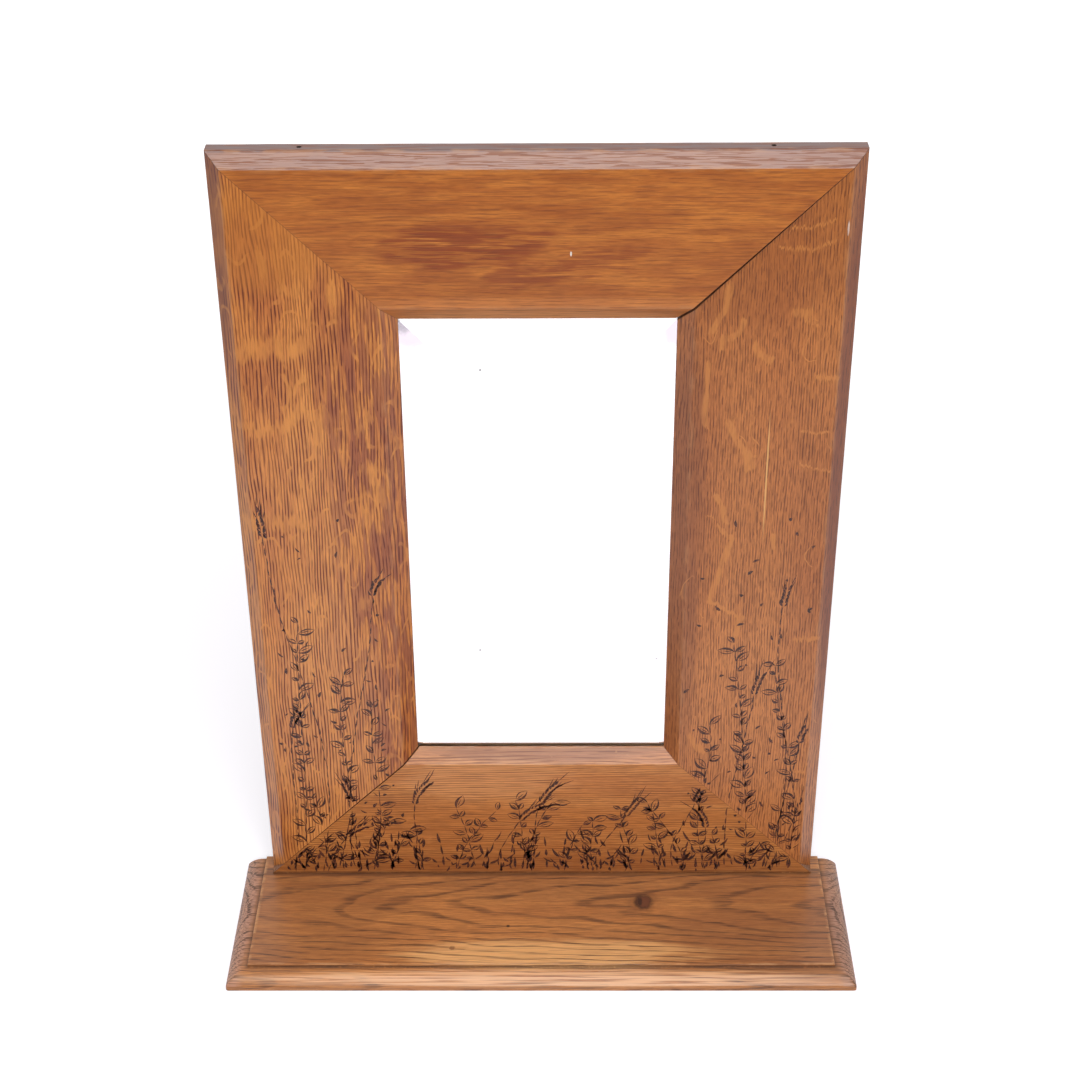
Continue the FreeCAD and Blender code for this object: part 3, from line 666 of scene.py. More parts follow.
# %% Oak of the left stile
PURPLE, PURPLE_SOAKED = tint(132, 66, 54), (44.0, 5.5, 2.0, 0.47, 0.06)
left_oak = oak("oak_left_stile", {
    "grain": "along Z, upright",
    "pale": tint(226, 148, 72), "mid": tint(212, 131, 60), "dark": tint(98, 36, 20),
    "red": tint(176, 96, 52), "ray": tint(216, 142, 68), "worn": tint(200, 144, 92),
    "bands": (260.0, 30.0, 0.5, 0.22, 0.55),
    "red bands": (46.0, 13.0, 1.5, 0.40, 0.20), "red strength": 0.45,
    "pores": (18.0, 1.0, 0.5, 0.52, 0.07), "pore strength": 0.55,
    "rings": ((0.0, 800.0, 30.0), 0.02, 2.4, 0.55, 9.0), "ring tone": 0.4,
    "dashes": (17.0, 1.3, 0.8, 0.41, 0.08), "dash strength": 1.0,
    "plates": (15.0, 90.0, 0.5, 0.80, 0.05), "ray strength": 0.85, "ray colour": 0.42, "teeth": 7.0,
    "ribbons": (26.0, 13.0, 0.045, 0.55),
    "flashes": [
        (10.0, (504, -209), (506, -169)), (5.0, (441, -215), (441, -184), (459, -171)),
        (7.0, (360, -216), (360, -175)), (6.0, (551, -178), (551, -169)), (5.0, (554, -144), (542, -144)),
        (4.5, (411, -123), (396, -123)), (4.5, (392, -117), (377, -117)), (3.5, (438, -131), (450, -121)),
        (3.5, (373, -130), (361, -128)), (4.0, (282, -137), (293, -130)), (3.5, (461, -156), (428, -161)),
        (4.0, (578, -192), (562, -191)),
    ],
    "tones": [
        ("purple side", (330.0, -116.0, 50.0), (360.0, 52.0, 60.0), 1.2, 0.6, PURPLE, PURPLE_SOAKED),
        ("pale middle", (330.0, -185.0, 49.0), (150.0, 60.0, 60.0), 0.8, 0.25, tint(240, 166, 98)),
        ("pale foot", (150.0, -170.0, 49.0), (170.0, 60.0, 60.0), 0.8, 0.35, tint(238, 168, 104)),
        ("dark outer edge", (600.0, -224.0, 53.0), (150.0, 11.0, 13.0), 0.4, 0.7, tint(110, 48, 20)),
    ],
    "marks": [
        ("quiet wood at the top", (588.0, -188.0, 49.0), (54.0, 46.0, 60.0), 1.0, 0.45, tint(192, 118, 50)),
    ],
    "wear": 0.25,
})
print("made", left_oak.name)

# %% [markdown]
# The right stile is truly quarter-sawn. Its grain is fine and even, and golden flashes wander down the
# face. A pale thread runs along the grain, and the outer edge has a white scrape near the top.

# %% Oak of the right stile
right_oak = oak("oak_right_stile", {
    "grain": "along Z, upright",
    "log": (170.0, 37.0, 5.0),
    "pale": tint(206, 129, 66), "mid": tint(192, 115, 58), "dark": tint(94, 46, 26),
    "red": tint(158, 88, 46), "ray": tint(206, 134, 68), "worn": tint(196, 140, 92),
    "bands": (300.0, 50.0, 0.5, 0.22, 0.55),
    "red bands": (180.0, 40.0, 0.5, 0.40, 0.35), "red strength": 0.3,
    "pores": (9.0, 0.8, 1.0, 0.50, 0.05), "pore strength": 0.7,
    "rings": ((0.0, 700.0, 20.0), 0.02, 2.0, 0.6, 9.0), "ring tone": 0.2,
    "dashes": (20.0, 1.2, 1.0, 0.47, 0.08), "dash strength": 0.55,
    "plates": (8.0, 26.0, 0.5, 0.80, 0.06), "ray strength": 0.85, "ray colour": 0.6, "teeth": 3.0,
    "ribbons": (34.0, 15.0, 0.012, 0.62),
    "flashes": [
        (3.4, (551, 134), (535, 132), (518, 123)), (3.0, (525, 145), (517, 143), (510, 132), (501, 130)),
        (3.2, (505, 155), (499, 156), (493, 166)), (5.0, (531, 183), (530, 188)),
        (1.6, (525, 189), (520, 197)), (3.0, (491, 122), (472, 121), (454, 120), (442, 122)),
        (3.4, (444, 138), (430, 144), (415, 153)), (5.5, (416, 153), (406, 155)),
        (3.0, (381, 131), (359, 140)), (2.8, (354, 134), (343, 145), (334, 142), (318, 137), (290, 130)),
        (2.2, (288, 130), (272, 155)), (3.6, (272, 154), (256, 151)), (2.6, (479, 200), (479, 214)),
        (1.3, (580, 167), (579, 189), (586, 205)), (1.2, (593, 173), (595, 190), (601, 204)),
        (3.0, (347, 176), (336, 177)), (1.4, (407, 192), (404, 214)), (1.4, (434, 192), (436, 212)),
        (2.6, (252, 199), (252, 214)), (3.0, (158, 119), (141, 129)),
    ],
    "tones": [
        ("pale foot", (150.0, 165.0, 49.0), (190.0, 80.0, 60.0), 0.8, 0.25, tint(226, 152, 94)),
        ("dark top", (590.0, 160.0, 49.0), (90.0, 110.0, 60.0), 0.6, 0.4, tint(146, 80, 38)),
        ("dark sight edge", (320.0, 103.0, 50.0), (270.0, 24.0, 30.0), 0.8, 0.4, tint(112, 62, 42)),
        ("dark outer edge", (420.0, 224.0, 53.0), (330.0, 11.0, 13.0), 0.4, 0.75, tint(120, 50, 18)),
    ],
    "marks": [
        ("white scrape", (593.0, 213.6, 49.3), (6.5, 0.8, 2.0), 0.9, 0.8, tint(226, 204, 190)),
        ("pale thread", (396.0, 167.6, 49.0), (62.0, 0.8, 3.0), 0.4, 0.85, tint(230, 174, 106)),
    ],
    "wear": 0.25,
})
print("made", right_oak.name)

# %% [markdown]
# The bottom rail has close, level lines of grain. It is pale along its upper edge, and shade is painted at
# its foot, next to the shelf.

# %% Oak of the bottom rail
bottom_oak = oak("oak_bottom_rail", {
    "grain": "along X, upright",
    "log": (700.0, 0.0, 0.0),
    "pale": tint(216, 144, 76), "mid": tint(200, 125, 60), "dark": tint(96, 46, 26),
    "red": tint(178, 104, 50), "ray": tint(204, 136, 72), "worn": tint(200, 146, 98),
    "bands": (220.0, 9.0, 1.0, 0.25, 0.50),
    "red bands": (160.0, 22.0, 0.5, 0.40, 0.35), "red strength": 0.3,
    "pores": (30.0, 1.0, 0.0, 0.54, 0.06), "pore strength": 0.5,
    "rings": ((0.0, -600.0, 30.0), 0.03, 2.2, 0.6, 7.0), "ring tone": 0.4,
    "dashes": (90.0, 1.3, 0.0, 0.46, 0.12), "dash strength": 0.5,
    "plates": (8.0, 30.0, 1.0, 0.70, 0.05), "ray strength": 0.5, "ray colour": 0.3, "teeth": 9.0,
    "tones": [
        ("sight edge", (0.0, 139.0, -54.0), (125.0, 13.0, 60.0), 0.2, 0.8, tint(150, 88, 44)),
        ("pale upper edge", (-45.0, 112.0, -49.0), (85.0, 24.0, 60.0), 0.8, 0.4, tint(234, 170, 110)),
        # Painted shade: the foot is darker next to the shelf.
        ("painted shade at the foot", (0.0, 11.0, -49.0), (420.0, 34.0, 60.0), 0.8, 0.35, tint(136, 76, 36)),
    ],
})
print("made", bottom_oak.name)

# %% [markdown]
# The shelf is flat-sawn. The heart of its tree lies under the board and comes nearer to the face towards
# the right, so its rings come out as arches that point left. A knot, a pin knot and a worm hole show on
# top. The moulded edge is rubbed pale along the front and dusty at both ends.

# %% Oak of the shelf
KNOT = Vector((83.5, 13.6, 13.0))
DARK_BARK = tint(48, 30, 24)
RUBBED_PALE, RUBBED_STREAKS = tint(232, 176, 128), (60.0, 1.5, 1.0, 0.33, 0.22)
shelf_oak = oak("oak_shelf", {
    "grain": "along X, flat",
    "pale": tint(202, 134, 74), "mid": tint(182, 116, 64), "dark": tint(72, 46, 34),
    "red": tint(136, 86, 54), "ray": tint(202, 134, 74), "worn": tint(206, 150, 100),
    "bands": (180.0, 8.0, 1.0, 0.28, 0.45),
    "red bands": (160.0, 26.0, 0.5, 0.40, 0.35), "red strength": 0.35,
    "pores": (24.0, 0.8, 0.5, 0.51, 0.05), "pore strength": 0.65,
    "rings": ((0.0, 12.0, -62.0), -0.045, 3.6, 0.38, 7.0), "ring tone": 0.28,
    "dashes": (30.0, 1.2, 1.0, 0.43, 0.08), "dash strength": 0.55,
    "plates": (9.0, 9.0, 1.0, 0.78, 0.05), "ray strength": 0.2, "ray colour": 0.2, "teeth": 2.0,
    "tones": [
        ("pale front", (8.0, -47.0, 13.0), (150.0, 19.0, 30.0), 0.9, 0.75, tint(232, 176, 114)),
        ("dark left", (-195.0, 0.0, 13.0), (110.0, 75.0, 30.0), 0.9, 0.3, tint(120, 72, 48)),
        ("dark right", (195.0, -10.0, 13.0), (110.0, 75.0, 30.0), 0.9, 0.3, tint(120, 72, 48)),
        # The line at the frame's foot is dirt and painted shade, darker where the frame stands on the shelf.
        ("dirt and painted shade at the frame's foot", (0.0, 50.5, 13.0), (470.0, 6.5, 30.0), 0.5, 0.55, tint(74, 44, 30)),
    ],
    "marks": [
        ("rubbed front", (0.0, -71.0, 11.0), (300.0, 11.0, 10.5), 0.5, 0.8, RUBBED_PALE, RUBBED_STREAKS),
        ("shade about the knot", KNOT, (17.0, 15.0, 20.0), 0.8, 0.4, tint(104, 62, 40)),
        ("rim of the knot", KNOT, (9.6, 10.6, 20.0), 0.5, 0.85, DARK_BARK),
        ("heart of the knot", KNOT + Vector((0.6, 0.2, 0.0)), (6.6, 7.4, 20.0), 0.7, 0.8, tint(112, 64, 42)),
        ("crack in the knot", KNOT + Vector((-2.6, 0.5, 0.0)), (2.4, 5.6, 20.0), 0.9, 0.85, DARK_BARK),
        ("pin knot", (-71.0, -40.3, 13.0), (3.0, 2.6, 20.0), 0.8, 0.6, tint(98, 52, 34)),
        ("worm hole", (-26.8, -14.9, 13.0), (1.9, 1.6, 6.0), 0.4, 0.95, tint(34, 22, 18)),
    ],
    "dust_and_sheen": [
        ("dust on the left end", (-247.0, 0.0, 6.0), (17.0, 130.0, 20.0), 0.3, 0.6, tint(198, 150, 130)),
        ("dust on the right end", (247.0, 0.0, 6.0), (17.0, 130.0, 20.0), 0.3, 0.5, tint(178, 138, 122)),
    ],
    "wear": 0.7,
})
print("made", shelf_oak.name)

# %% [markdown]
# The backs were never varnished. Bare oak is the same wood, greyer and quite dull.

# %% Bare oak
bare_oak = {}
for grain in GRAIN_TURN:
    bare_oak[grain] = oak("bare_oak_" + grain.replace(", ", "_").replace(" ", "_"), {
        "grain": grain,
        "log": (250.0, 90.0, 0.0),
        "pale": tint(172, 132, 92), "mid": tint(148, 110, 76), "dark": tint(86, 60, 42),
        "red": tint(132, 96, 66), "ray": tint(184, 146, 104), "worn": tint(176, 140, 104),
        "bands": (240.0, 30.0, 0.5, 0.22, 0.55),
        "red bands": (140.0, 26.0, 0.5, 0.40, 0.35), "red strength": 0.4,
        "pores": (26.0, 0.9, 0.0, 0.55, 0.08), "pore strength": 0.6,
        "rings": ((0.0, 700.0, 30.0), 0.02, 3.0, 0.6, 9.0), "ring tone": 0.4,
        "dashes": (50.0, 1.3, 0.0, 0.46, 0.16), "dash strength": 0.6,
        "plates": (9.0, 30.0, 1.0, 0.68, 0.05), "ray strength": 0.5, "ray colour": 0.3, "teeth": 9.0,
        "roughness": 0.72, "relief": 0.6,
    })
print("made", [material.name for material in bare_oak.values()])

# %% [markdown]
# ## Shaping a board
#
# A board is one section carried between two mitre lines. A bevel modifier could soften its edges, but it
# makes every edge alike. Here each corner of the section is cut back by a small amount that changes along
# the length, so an arris is sharp in one place and rubbed in another, as by hands and cloths. `soften`
# makes that curve.

# %% Soft corners
SHOULDER, SHOULDER_MOST = 2.4 * MM, 0.45
SLOW_WAVES, SLOW_DEPTH, QUICK_WAVES, QUICK_DEPTH = 14.0, 0.55, 60.0, 0.3


def soften(corners, cuts, steps=3):
    """Round the corners of a closed outline, with a point on the flat at each side of a corner.

    Returns the points, and 1 for each that is on a rounded corner."""
    points, rounded = [], []
    curve = [step / steps for step in range(steps + 1)]
    for i, (corner, cut) in enumerate(zip(corners, cuts)):
        if cut == 0:
            points.append(corner)
            rounded.append(0.0)
            continue
        back, on = corners[i - 1] - corner, corners[(i + 1) % len(corners)] - corner
        start, end = corner + back.normalized() * cut, corner + on.normalized() * cut
        points.append(corner + back.normalized() * min(cut + SHOULDER, SHOULDER_MOST * back.length))
        points += [start * (1 - t) ** 2 + corner * (2 * t * (1 - t)) + end * t ** 2 for t in curve]
        points.append(corner + on.normalized() * min(cut + SHOULDER, SHOULDER_MOST * on.length))
        rounded += [0.0] + [1.0] * len(curve) + [0.0]
    return points, rounded


def rubbed(size, place, seed):
    """A cut that drifts along the length, between about half and one and a half times its size."""
    slow = noise.noise(Vector((place * SLOW_WAVES, seed, 0.0)))
    quick = noise.noise(Vector((place * QUICK_WAVES, seed, 5.0)))
    return size * (1.0 + SLOW_DEPTH * slow + QUICK_DEPTH * quick)


square = [Vector((0, 0)), Vector((1, 0)), Vector((1, 1)), Vector((0, 1))]
print("a softened square has", len(soften(square, [0.1] * 4)[0]), "points")

# %% [markdown]
# The section starts at the outer edge. `u` runs in towards the glass and `depth` runs back from the front
# face. The outer edges come from the measured frame. The bottom rail has no chamfer outside, since it
# stands on the shelf.

# %% Board section
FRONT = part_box("left_stile")[0].y
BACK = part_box("left_stile")[1].y
THICK = BACK - FRONT
OUT_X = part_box("right_stile")[1].x
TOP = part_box("top_rail")[1].z
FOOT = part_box("bottom_rail")[0].z
BOARD = 126.0 * MM
OUTER_CHAMFER = (10.5 * MM, 9.5 * MM)
INNER_CHAMFER = (11.7 * MM, 8.7 * MM)
LIP = 1.5 * MM
REBATE = 8.0 * MM
LIP_BACK = INNER_CHAMFER[1] + LIP


def section(chamfered):
    """The corners of a board's section, and how far each is cut back."""
    inside = [
        (BOARD - INNER_CHAMFER[0], 0, 0.7), (BOARD, INNER_CHAMFER[1], 0.4), (BOARD, LIP_BACK, 0.2),
        (BOARD - REBATE, LIP_BACK, 0), (BOARD - REBATE, THICK, 0.3),
    ]
    if chamfered:
        outside = [(0, THICK, 0.7), (0, OUTER_CHAMFER[1], 0.8), (OUTER_CHAMFER[0], 0, 0.8)]
    else:
        outside = [(0, THICK, 0.3), (0, 0, 0.5)]
    rows = outside + inside
    return [Vector((u, depth)) for u, depth, cut in rows], [cut * MM for u, depth, cut in rows]


print("front", round(FRONT, 4), "back", round(BACK, 4), "top", round(TOP, 4), "foot", round(FOOT, 4))

# %% [markdown]
# The mesh is a grid of these sections, closed by a flat cap at each mitre. A narrow strip at each end carries
# dirt, and one at the frame's foot carries dirt and painted shade where the frame meets the shelf.

# %% Board mesh
STATIONS = 140
END_STRIP = 0.0012
STATION_SHARES = [0.0, END_STRIP] + [i / STATIONS for i in range(1, STATIONS)] + [1.0 - END_STRIP, 1.0]
FOOT_STRIP = 1.2 * MM
BOARD_SEED, CORNER_SEED = 31.7, 7.1


def new_shape():
    """An empty mesh in the making, with the layers for worn arrises and for dirt."""
    shape = bmesh.new()
    return shape, shape.verts.layers.float.new("arris"), shape.verts.layers.float.new("dirt_and_shade")


def to_mesh(shape, name):
    """Turn a finished shape into a mesh, with every face looking out."""
    bmesh.ops.recalc_face_normals(shape, faces=shape.faces)
    mesh = bpy.data.meshes.new(name)
    shape.to_mesh(mesh)
    shape.free()
    return mesh


def board_mesh(name, outer, inner, chamfered, seed):
    """outer and inner are the ends of the board's outer edge and of its sight edge, in X and Z."""
    corners, cuts = section(chamfered)
    shape, arris_layer, dirt_and_shade_layer = new_shape()
    rows = []
    for share in STATION_SHARES:
        worn_cuts = [rubbed(cut, share, seed + i * CORNER_SEED) if cut else 0 for i, cut in enumerate(cuts)]
        row = []
        for point, on_arris in zip(*soften(corners, worn_cuts)):
            in_share = point.x / BOARD
            start = outer[0].lerp(inner[0], in_share)
            end = outer[1].lerp(inner[1], in_share)
            flat = start.lerp(end, share)
            vert = shape.verts.new((flat.x, FRONT + point.y, flat.y))
            vert[arris_layer] = on_arris
            # The strip at the foot also gets painted shade, where the frame meets the shelf.
            vert[dirt_and_shade_layer] = float(share in (0.0, 1.0) or flat.y < FOOT + FOOT_STRIP)
            row.append(vert)
        rows.append(row)
    for near, far in zip(rows, rows[1:]):
        for i in range(len(near)):
            j = (i + 1) % len(near)
            shape.faces.new((near[i], near[j], far[j], far[i]))
    shape.faces.new(rows[0])
    shape.faces.new(rows[-1])
    return to_mesh(shape, name)


print("sections along a board:", len(STATION_SHARES))

# %% [markdown]
# Two helpers serve the new meshes. `add_piece` dresses one and lets it ride on a body of the measured frame,
# so it moves as that body does. `smooth_faces` is for the wooden ones: a weighted normal modifier keeps the
# wide faces flat and lets only the small rounded strips shade smoothly.

# %% Pieces
def add_piece(name, mesh, body, slot, *materials):
    """Link a new mesh to the scene, dress it and let it ride on a body."""
    piece = bpy.data.objects.new(name, mesh)
    bpy.context.scene.collection.objects.link(piece)
    for material in materials:
        mesh.materials.append(material)
    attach(piece, body)
    return piece


def smooth_faces(piece, sharp_angle=35):
    """Shade smoothly over rounded strips, keep wide faces flat and leave real corners sharp."""
    piece.data.polygons.foreach_set("use_smooth", [True] * len(piece.data.polygons))
    piece.data.set_sharp_from_angle(angle=math.radians(sharp_angle))
    weighted = piece.modifiers.new("flat_faces", "WEIGHTED_NORMAL")
    weighted.keep_sharp = True


# %% [markdown]
# ## The four boards
#
# Two of the mitres have opened as the oak shrank: the top right one by almost two millimetres at the glass,
# the bottom left one by a little more than one. The gap is nothing at the outer corner and widest at the
# inner one, so it is made by moving the two inner corners apart along their sight edges. The backs and the
# rebate are bare oak.

# %% Boards
TOP_RIGHT_OPENING = 1.8 * MM / math.sqrt(2)
BOTTOM_LEFT_OPENING = 1.2 * MM / math.sqrt(2)
SIGHT_X = OUT_X - BOARD
SIGHT_TOP = TOP - BOARD
SIGHT_FOOT = FOOT + BOARD


def four_corners(x, low, high):
    """The corners of an upright rectangle, by name."""
    return {
        "top left": Vector((-x, high)), "top right": Vector((x, high)),
        "bottom left": Vector((-x, low)), "bottom right": Vector((x, low)),
    }


def is_bare(face):
    """Whether a face is on the back, or on a wall of the rebate."""
    behind_lip = face.center.y > FRONT + LIP_BACK + 0.1 * MM and abs(face.normal.y) < 0.1
    beside_glass = abs(face.center.x) < SIGHT_X + REBATE + MM
    between_rails = SIGHT_FOOT - REBATE - MM < face.center.z < SIGHT_TOP + REBATE + MM
    return face.normal.y > 0.5 or (behind_lip and beside_glass and between_rails)


outer_corner = four_corners(OUT_X, FOOT, TOP)
inner_corner = four_corners(SIGHT_X, SIGHT_FOOT, SIGHT_TOP)
BOARDS = {
    "top_rail": ("top left", "top right", "top right", (-TOP_RIGHT_OPENING, 0), top_oak),
    "bottom_rail": ("bottom left", "bottom right", "bottom left", (BOTTOM_LEFT_OPENING, 0), bottom_oak),
    "left_stile": ("bottom left", "top left", "bottom left", (0, BOTTOM_LEFT_OPENING), left_oak),
    "right_stile": ("bottom right", "top right", "top right", (0, -TOP_RIGHT_OPENING), right_oak),
}

boards = {}
for seed, (name, (start, end, opened, opening, finish)) in enumerate(BOARDS.items()):
    outer = [outer_corner[corner] for corner in (start, end)]
    shift = {opened: Vector(opening)}
    inner = [inner_corner[corner] + shift.get(corner, Vector((0, 0))) for corner in (start, end)]
    mesh = board_mesh(name + "_board", outer, inner, name != "bottom_rail", seed * BOARD_SEED)
    grain = "along X, upright" if name.endswith("rail") else "along Z, upright"
    board = add_piece(name + "_board", mesh, "frame", "oak_frame", finish, bare_oak[grain])
    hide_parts(name)
    for face in mesh.polygons:
        if is_bare(face):
            face.material_index = 1
    smooth_faces(board)
    boards[name] = board
    print(name, "faces:", len(mesh.polygons))

# %% [markdown]
# ## Holes of the old screw eyes
#
# Two screw eyes once stood in the top edge, and only their holes are left. A boolean cuts them with two
# pointed drills, which are taken away again. The drills carry a dark grime that also paints the shade inside
# the holes, so the walls of the holes get it too.

# %% Eye holes
EYE_X, EYE_R, EYE_DEEP = 161.0 * MM, 1.8 * MM, 20.0 * MM
EYE_Y = FRONT + 15.5 * MM
POINT_H = 3.0 * MM

grime, tree, surface = new_material("eye_hole_grime_and_shade")
fine = {"Vector": place_on_piece(tree), "Scale": 900.0, "Detail": 3.0}
crumbs = put(tree, "TexNoise", "crumbs", fine).outputs[0]
colour = over(tree, crumbs, tint(26, 18, 14), tint(58, 38, 28), "old grime and painted shade")
coat(tree, surface, "grime", {"Base Color": colour, "Roughness": 0.9})


def drill(x):
    """A pointed drill that stands in the top edge."""
    shape = bmesh.new()
    point = {"segments": 24, "radius1": 0.2 * EYE_R, "radius2": EYE_R, "depth": POINT_H}
    bmesh.ops.create_cone(shape, cap_ends=True, **point)
    bmesh.ops.translate(shape, verts=shape.verts, vec=(x, EYE_Y, TOP - EYE_DEEP + POINT_H / 2))
    rim = max(shape.faces, key=lambda face: face.calc_center_median().z)
    walls = bmesh.ops.extrude_discrete_faces(shape, faces=[rim])["faces"]
    bmesh.ops.translate(shape, verts=walls[0].verts, vec=(0, 0, EYE_DEEP))
    mesh = bpy.data.meshes.new("drill")
    shape.to_mesh(mesh)
    shape.free()
    mesh.materials.append(grime)
    tool = bpy.data.objects.new("drill", mesh)
    bpy.context.scene.collection.objects.link(tool)
    return tool


drills = [drill(-EYE_X), drill(EYE_X)]
top_board = boards["top_rail"]
for tool in drills:
    cut = top_board.modifiers.new("eye_hole", "BOOLEAN")
    cut.object, cut.solver, cut.material_mode = tool, "EXACT", "TRANSFER"
top_board.modifiers.remove(top_board.modifiers["flat_faces"])
drilled = top_board.evaluated_get(bpy.context.evaluated_depsgraph_get())
top_board.data = bpy.data.meshes.new_from_object(drilled)
top_board.data.name = "top_rail_board"
top_board.modifiers.clear()
for tool in drills:
    bpy.data.meshes.remove(tool.data)
smooth_faces(top_board)
print("top rail with holes:", len(top_board.data.polygons), "faces")

# %% [markdown]
# ## The shelf
#
# One profile runs round the front and both ends: a square foot, a thumbnail curve, a small flat called a
# quirk, and a step up to the raised field. The thumbnail is two arcs that meet smoothly, a tight one at the
# nose and a flat crown.

# %% Shelf profile
shelf_low, shelf_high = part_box("shelf")
SHELF_T = shelf_high.z - shelf_low.z
FOOT_H, QUIRK_Z = 3.0 * MM, SHELF_T - 2.5 * MM
ROUND_W, QUIRK_W, NOSE_R = 13.0 * MM, 3.0 * MM, 3.5 * MM
NOSE_STEPS, CROWN_STEPS = 6, 8
FIELD_IN = ROUND_W + QUIRK_W


def thumbnail():
    """Points (inward, height) from the foot's top over the nose and the crown to the quirk."""
    tall, wide = QUIRK_Z - FOOT_H, ROUND_W - NOSE_R
    crown_r = (wide ** 2 + tall ** 2 - NOSE_R ** 2) / (2 * (tall - NOSE_R))
    meet = math.atan2(wide, crown_r - tall)
    nose = [math.pi / 2 + (meet - math.pi / 2) * i / NOSE_STEPS for i in range(NOSE_STEPS + 1)]
    crown = [meet * (1 - i / CROWN_STEPS) for i in range(1, CROWN_STEPS + 1)]
    points = [(NOSE_R - NOSE_R * math.sin(a), FOOT_H + NOSE_R * math.cos(a)) for a in nose]
    points += [(ROUND_W - crown_r * math.sin(a), QUIRK_Z - crown_r + crown_r * math.cos(a)) for a in crown]
    return points


# Each point is (inward, height, on an arris, dirt and painted shade). The quirk and the step get painted
# shade.
profile = [(1.2 * MM, 0.0, 0.0, 0.0), (0.35 * MM, 0.1 * MM, 1.0, 0.0), (0.0, 0.5 * MM, 1.0, 0.0)]
profile += [(inward, height, 0.0, 0.0) for inward, height in thumbnail()]
profile += [
    (FIELD_IN - 0.3 * MM, QUIRK_Z, 0.0, 1.0), (FIELD_IN, QUIRK_Z + 0.2 * MM, 0.0, 1.0),
    (FIELD_IN, SHELF_T - 0.7 * MM, 0.0, 0.3), (FIELD_IN + 0.2 * MM, SHELF_T - 0.2 * MM, 1.0, 0.0),
    (FIELD_IN + 0.8 * MM, SHELF_T, 1.0, 0.0), (FIELD_IN + 3.0 * MM, SHELF_T, 0.0, 0.0),
]
print("profile points:", len(profile))

# %% [markdown]
# A bevelled curve could carry the profile round the shelf, but its mitres would be soft. Here each point of
# the profile draws its own U-shaped line along one end, the front and the other end, so the corners stay
# crisp.

# %% Shelf lines
CORNER_STEPS = 4
SIDE_STEPS, FRONT_STEPS = 34, 120
CORNER_CUT, CORNER_TAPER, LEAST_CUT = 2.2 * MM, 0.12, 0.3 * MM


def shelf_line(inward):
    """A U-shaped line round the shelf, that far in from its edge, with softened front corners."""
    left, right = shelf_low.x + inward, shelf_high.x - inward
    near, far = shelf_low.y + inward, shelf_high.y
    corners = [Vector((left, far)), Vector((left, near)), Vector((right, near)), Vector((right, far))]
    cut = max(CORNER_CUT - CORNER_TAPER * inward, LEAST_CUT)
    points, _ = soften(corners, [0, cut, cut, 0], CORNER_STEPS)
    turn = CORNER_STEPS + 3
    line = [points[0].lerp(points[1], i / SIDE_STEPS) for i in range(SIDE_STEPS)]
    line += points[1:turn]
    line += [points[turn].lerp(points[turn + 1], i / FRONT_STEPS) for i in range(FRONT_STEPS)]
    line += points[turn + 1:2 * turn]
    line += [points[2 * turn].lerp(points[-1], i / SIDE_STEPS) for i in range(SIDE_STEPS + 1)]
    return line


print("points in a line:", len(shelf_line(0.0)))

# %% [markdown]
# The lines are joined into strips, and three flat faces close the top, the underside and the back. Arrises
# dip a little where a noise says so, as if knocked. The underside and the back are bare oak.

# %% Shelf mesh
DENT_SCALE, DENT_FROM, DENT_DEPTH = 55, 0.35, 0.5 * MM

shape, arris_layer, dirt_and_shade_layer = new_shape()
lines = []
for inward, height, arris, dirt_and_shade in profile:
    line = []
    for place in shelf_line(inward):
        dent = noise.noise(Vector((place.x * DENT_SCALE, place.y * DENT_SCALE, 3.0)))
        lift = -max(0.0, dent - DENT_FROM) * DENT_DEPTH if arris else 0.0
        vert = shape.verts.new((place.x, place.y, max(shelf_low.z + height + lift, shelf_low.z)))
        vert[arris_layer] = arris
        vert[dirt_and_shade_layer] = dirt_and_shade
        line.append(vert)
    lines.append(line)
for lower, upper in zip(lines, lines[1:]):
    for i in range(len(lower) - 1):
        shape.faces.new((lower[i], lower[i + 1], upper[i + 1], upper[i]))
shape.faces.new(lines[-1])
shape.faces.new(lines[0])
shape.faces.new([line[0] for line in lines] + [line[-1] for line in reversed(lines)])
shelf_mesh = to_mesh(shape, "shelf_board")
shelf = add_piece("shelf_board", shelf_mesh, "frame", "oak_shelf", shelf_oak, bare_oak["along X, flat"])
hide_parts("shelf")
for face in shelf_mesh.polygons:
    if face.normal.z < -0.7 or face.normal.y > 0.7:
        face.material_index = 1
smooth_faces(shelf, sharp_angle=40)
print("shelf faces:", len(shelf_mesh.polygons))

# %% [markdown]
# ## The mirror
#
# A mirror is a sheet of clear glass with silver on its back. Old silver has specks. Both upper corners also
# have painted reflections behind the side bevels: grey and pale patches laid on the silver. The mitre between
# two bevels is a line at 45 degrees, and seen from above through the glass it falls lower on the silver than
# on the front.

# %% Glass and silver
glass_low, glass_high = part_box("mirror_glass")
SEEN_LOWER, MITRE_BLUR = 2.3, 0.6
SPECK, GREY_REFLECTION, PALE_REFLECTION = tint(70, 66, 62), tint(172, 166, 172), tint(222, 210, 219)
SILVER_MARKS = {
    "upper speck": ((-41.6, 63.0, 478.7), (0.9, 9.0, 0.9), 1.0, SPECK),
    "lower speck": ((-46.9, 63.0, 232.7), (0.9, 9.0, 0.9), 1.0, SPECK),
    "edge speck": ((91.2, 63.0, 223.9), (1.1, 9.0, 1.1), 0.3, SPECK),
    # The last three marks are painted reflections: grey and pale patches on the silver behind the side
    # bevels.
    "upper left pale reflection": ((-94.0, 63.0, 509.0), (22.0, 9.0, 17.0), 0.9, PALE_REFLECTION),
    "upper left grey reflection": ((-98.0, 63.0, 520.0), (14.0, 9.0, 15.0), 0.9, GREY_REFLECTION),
    "upper right pale reflection": ((99.0, 63.0, 508.0), (12.0, 9.0, 15.0), 0.9, PALE_REFLECTION),
}

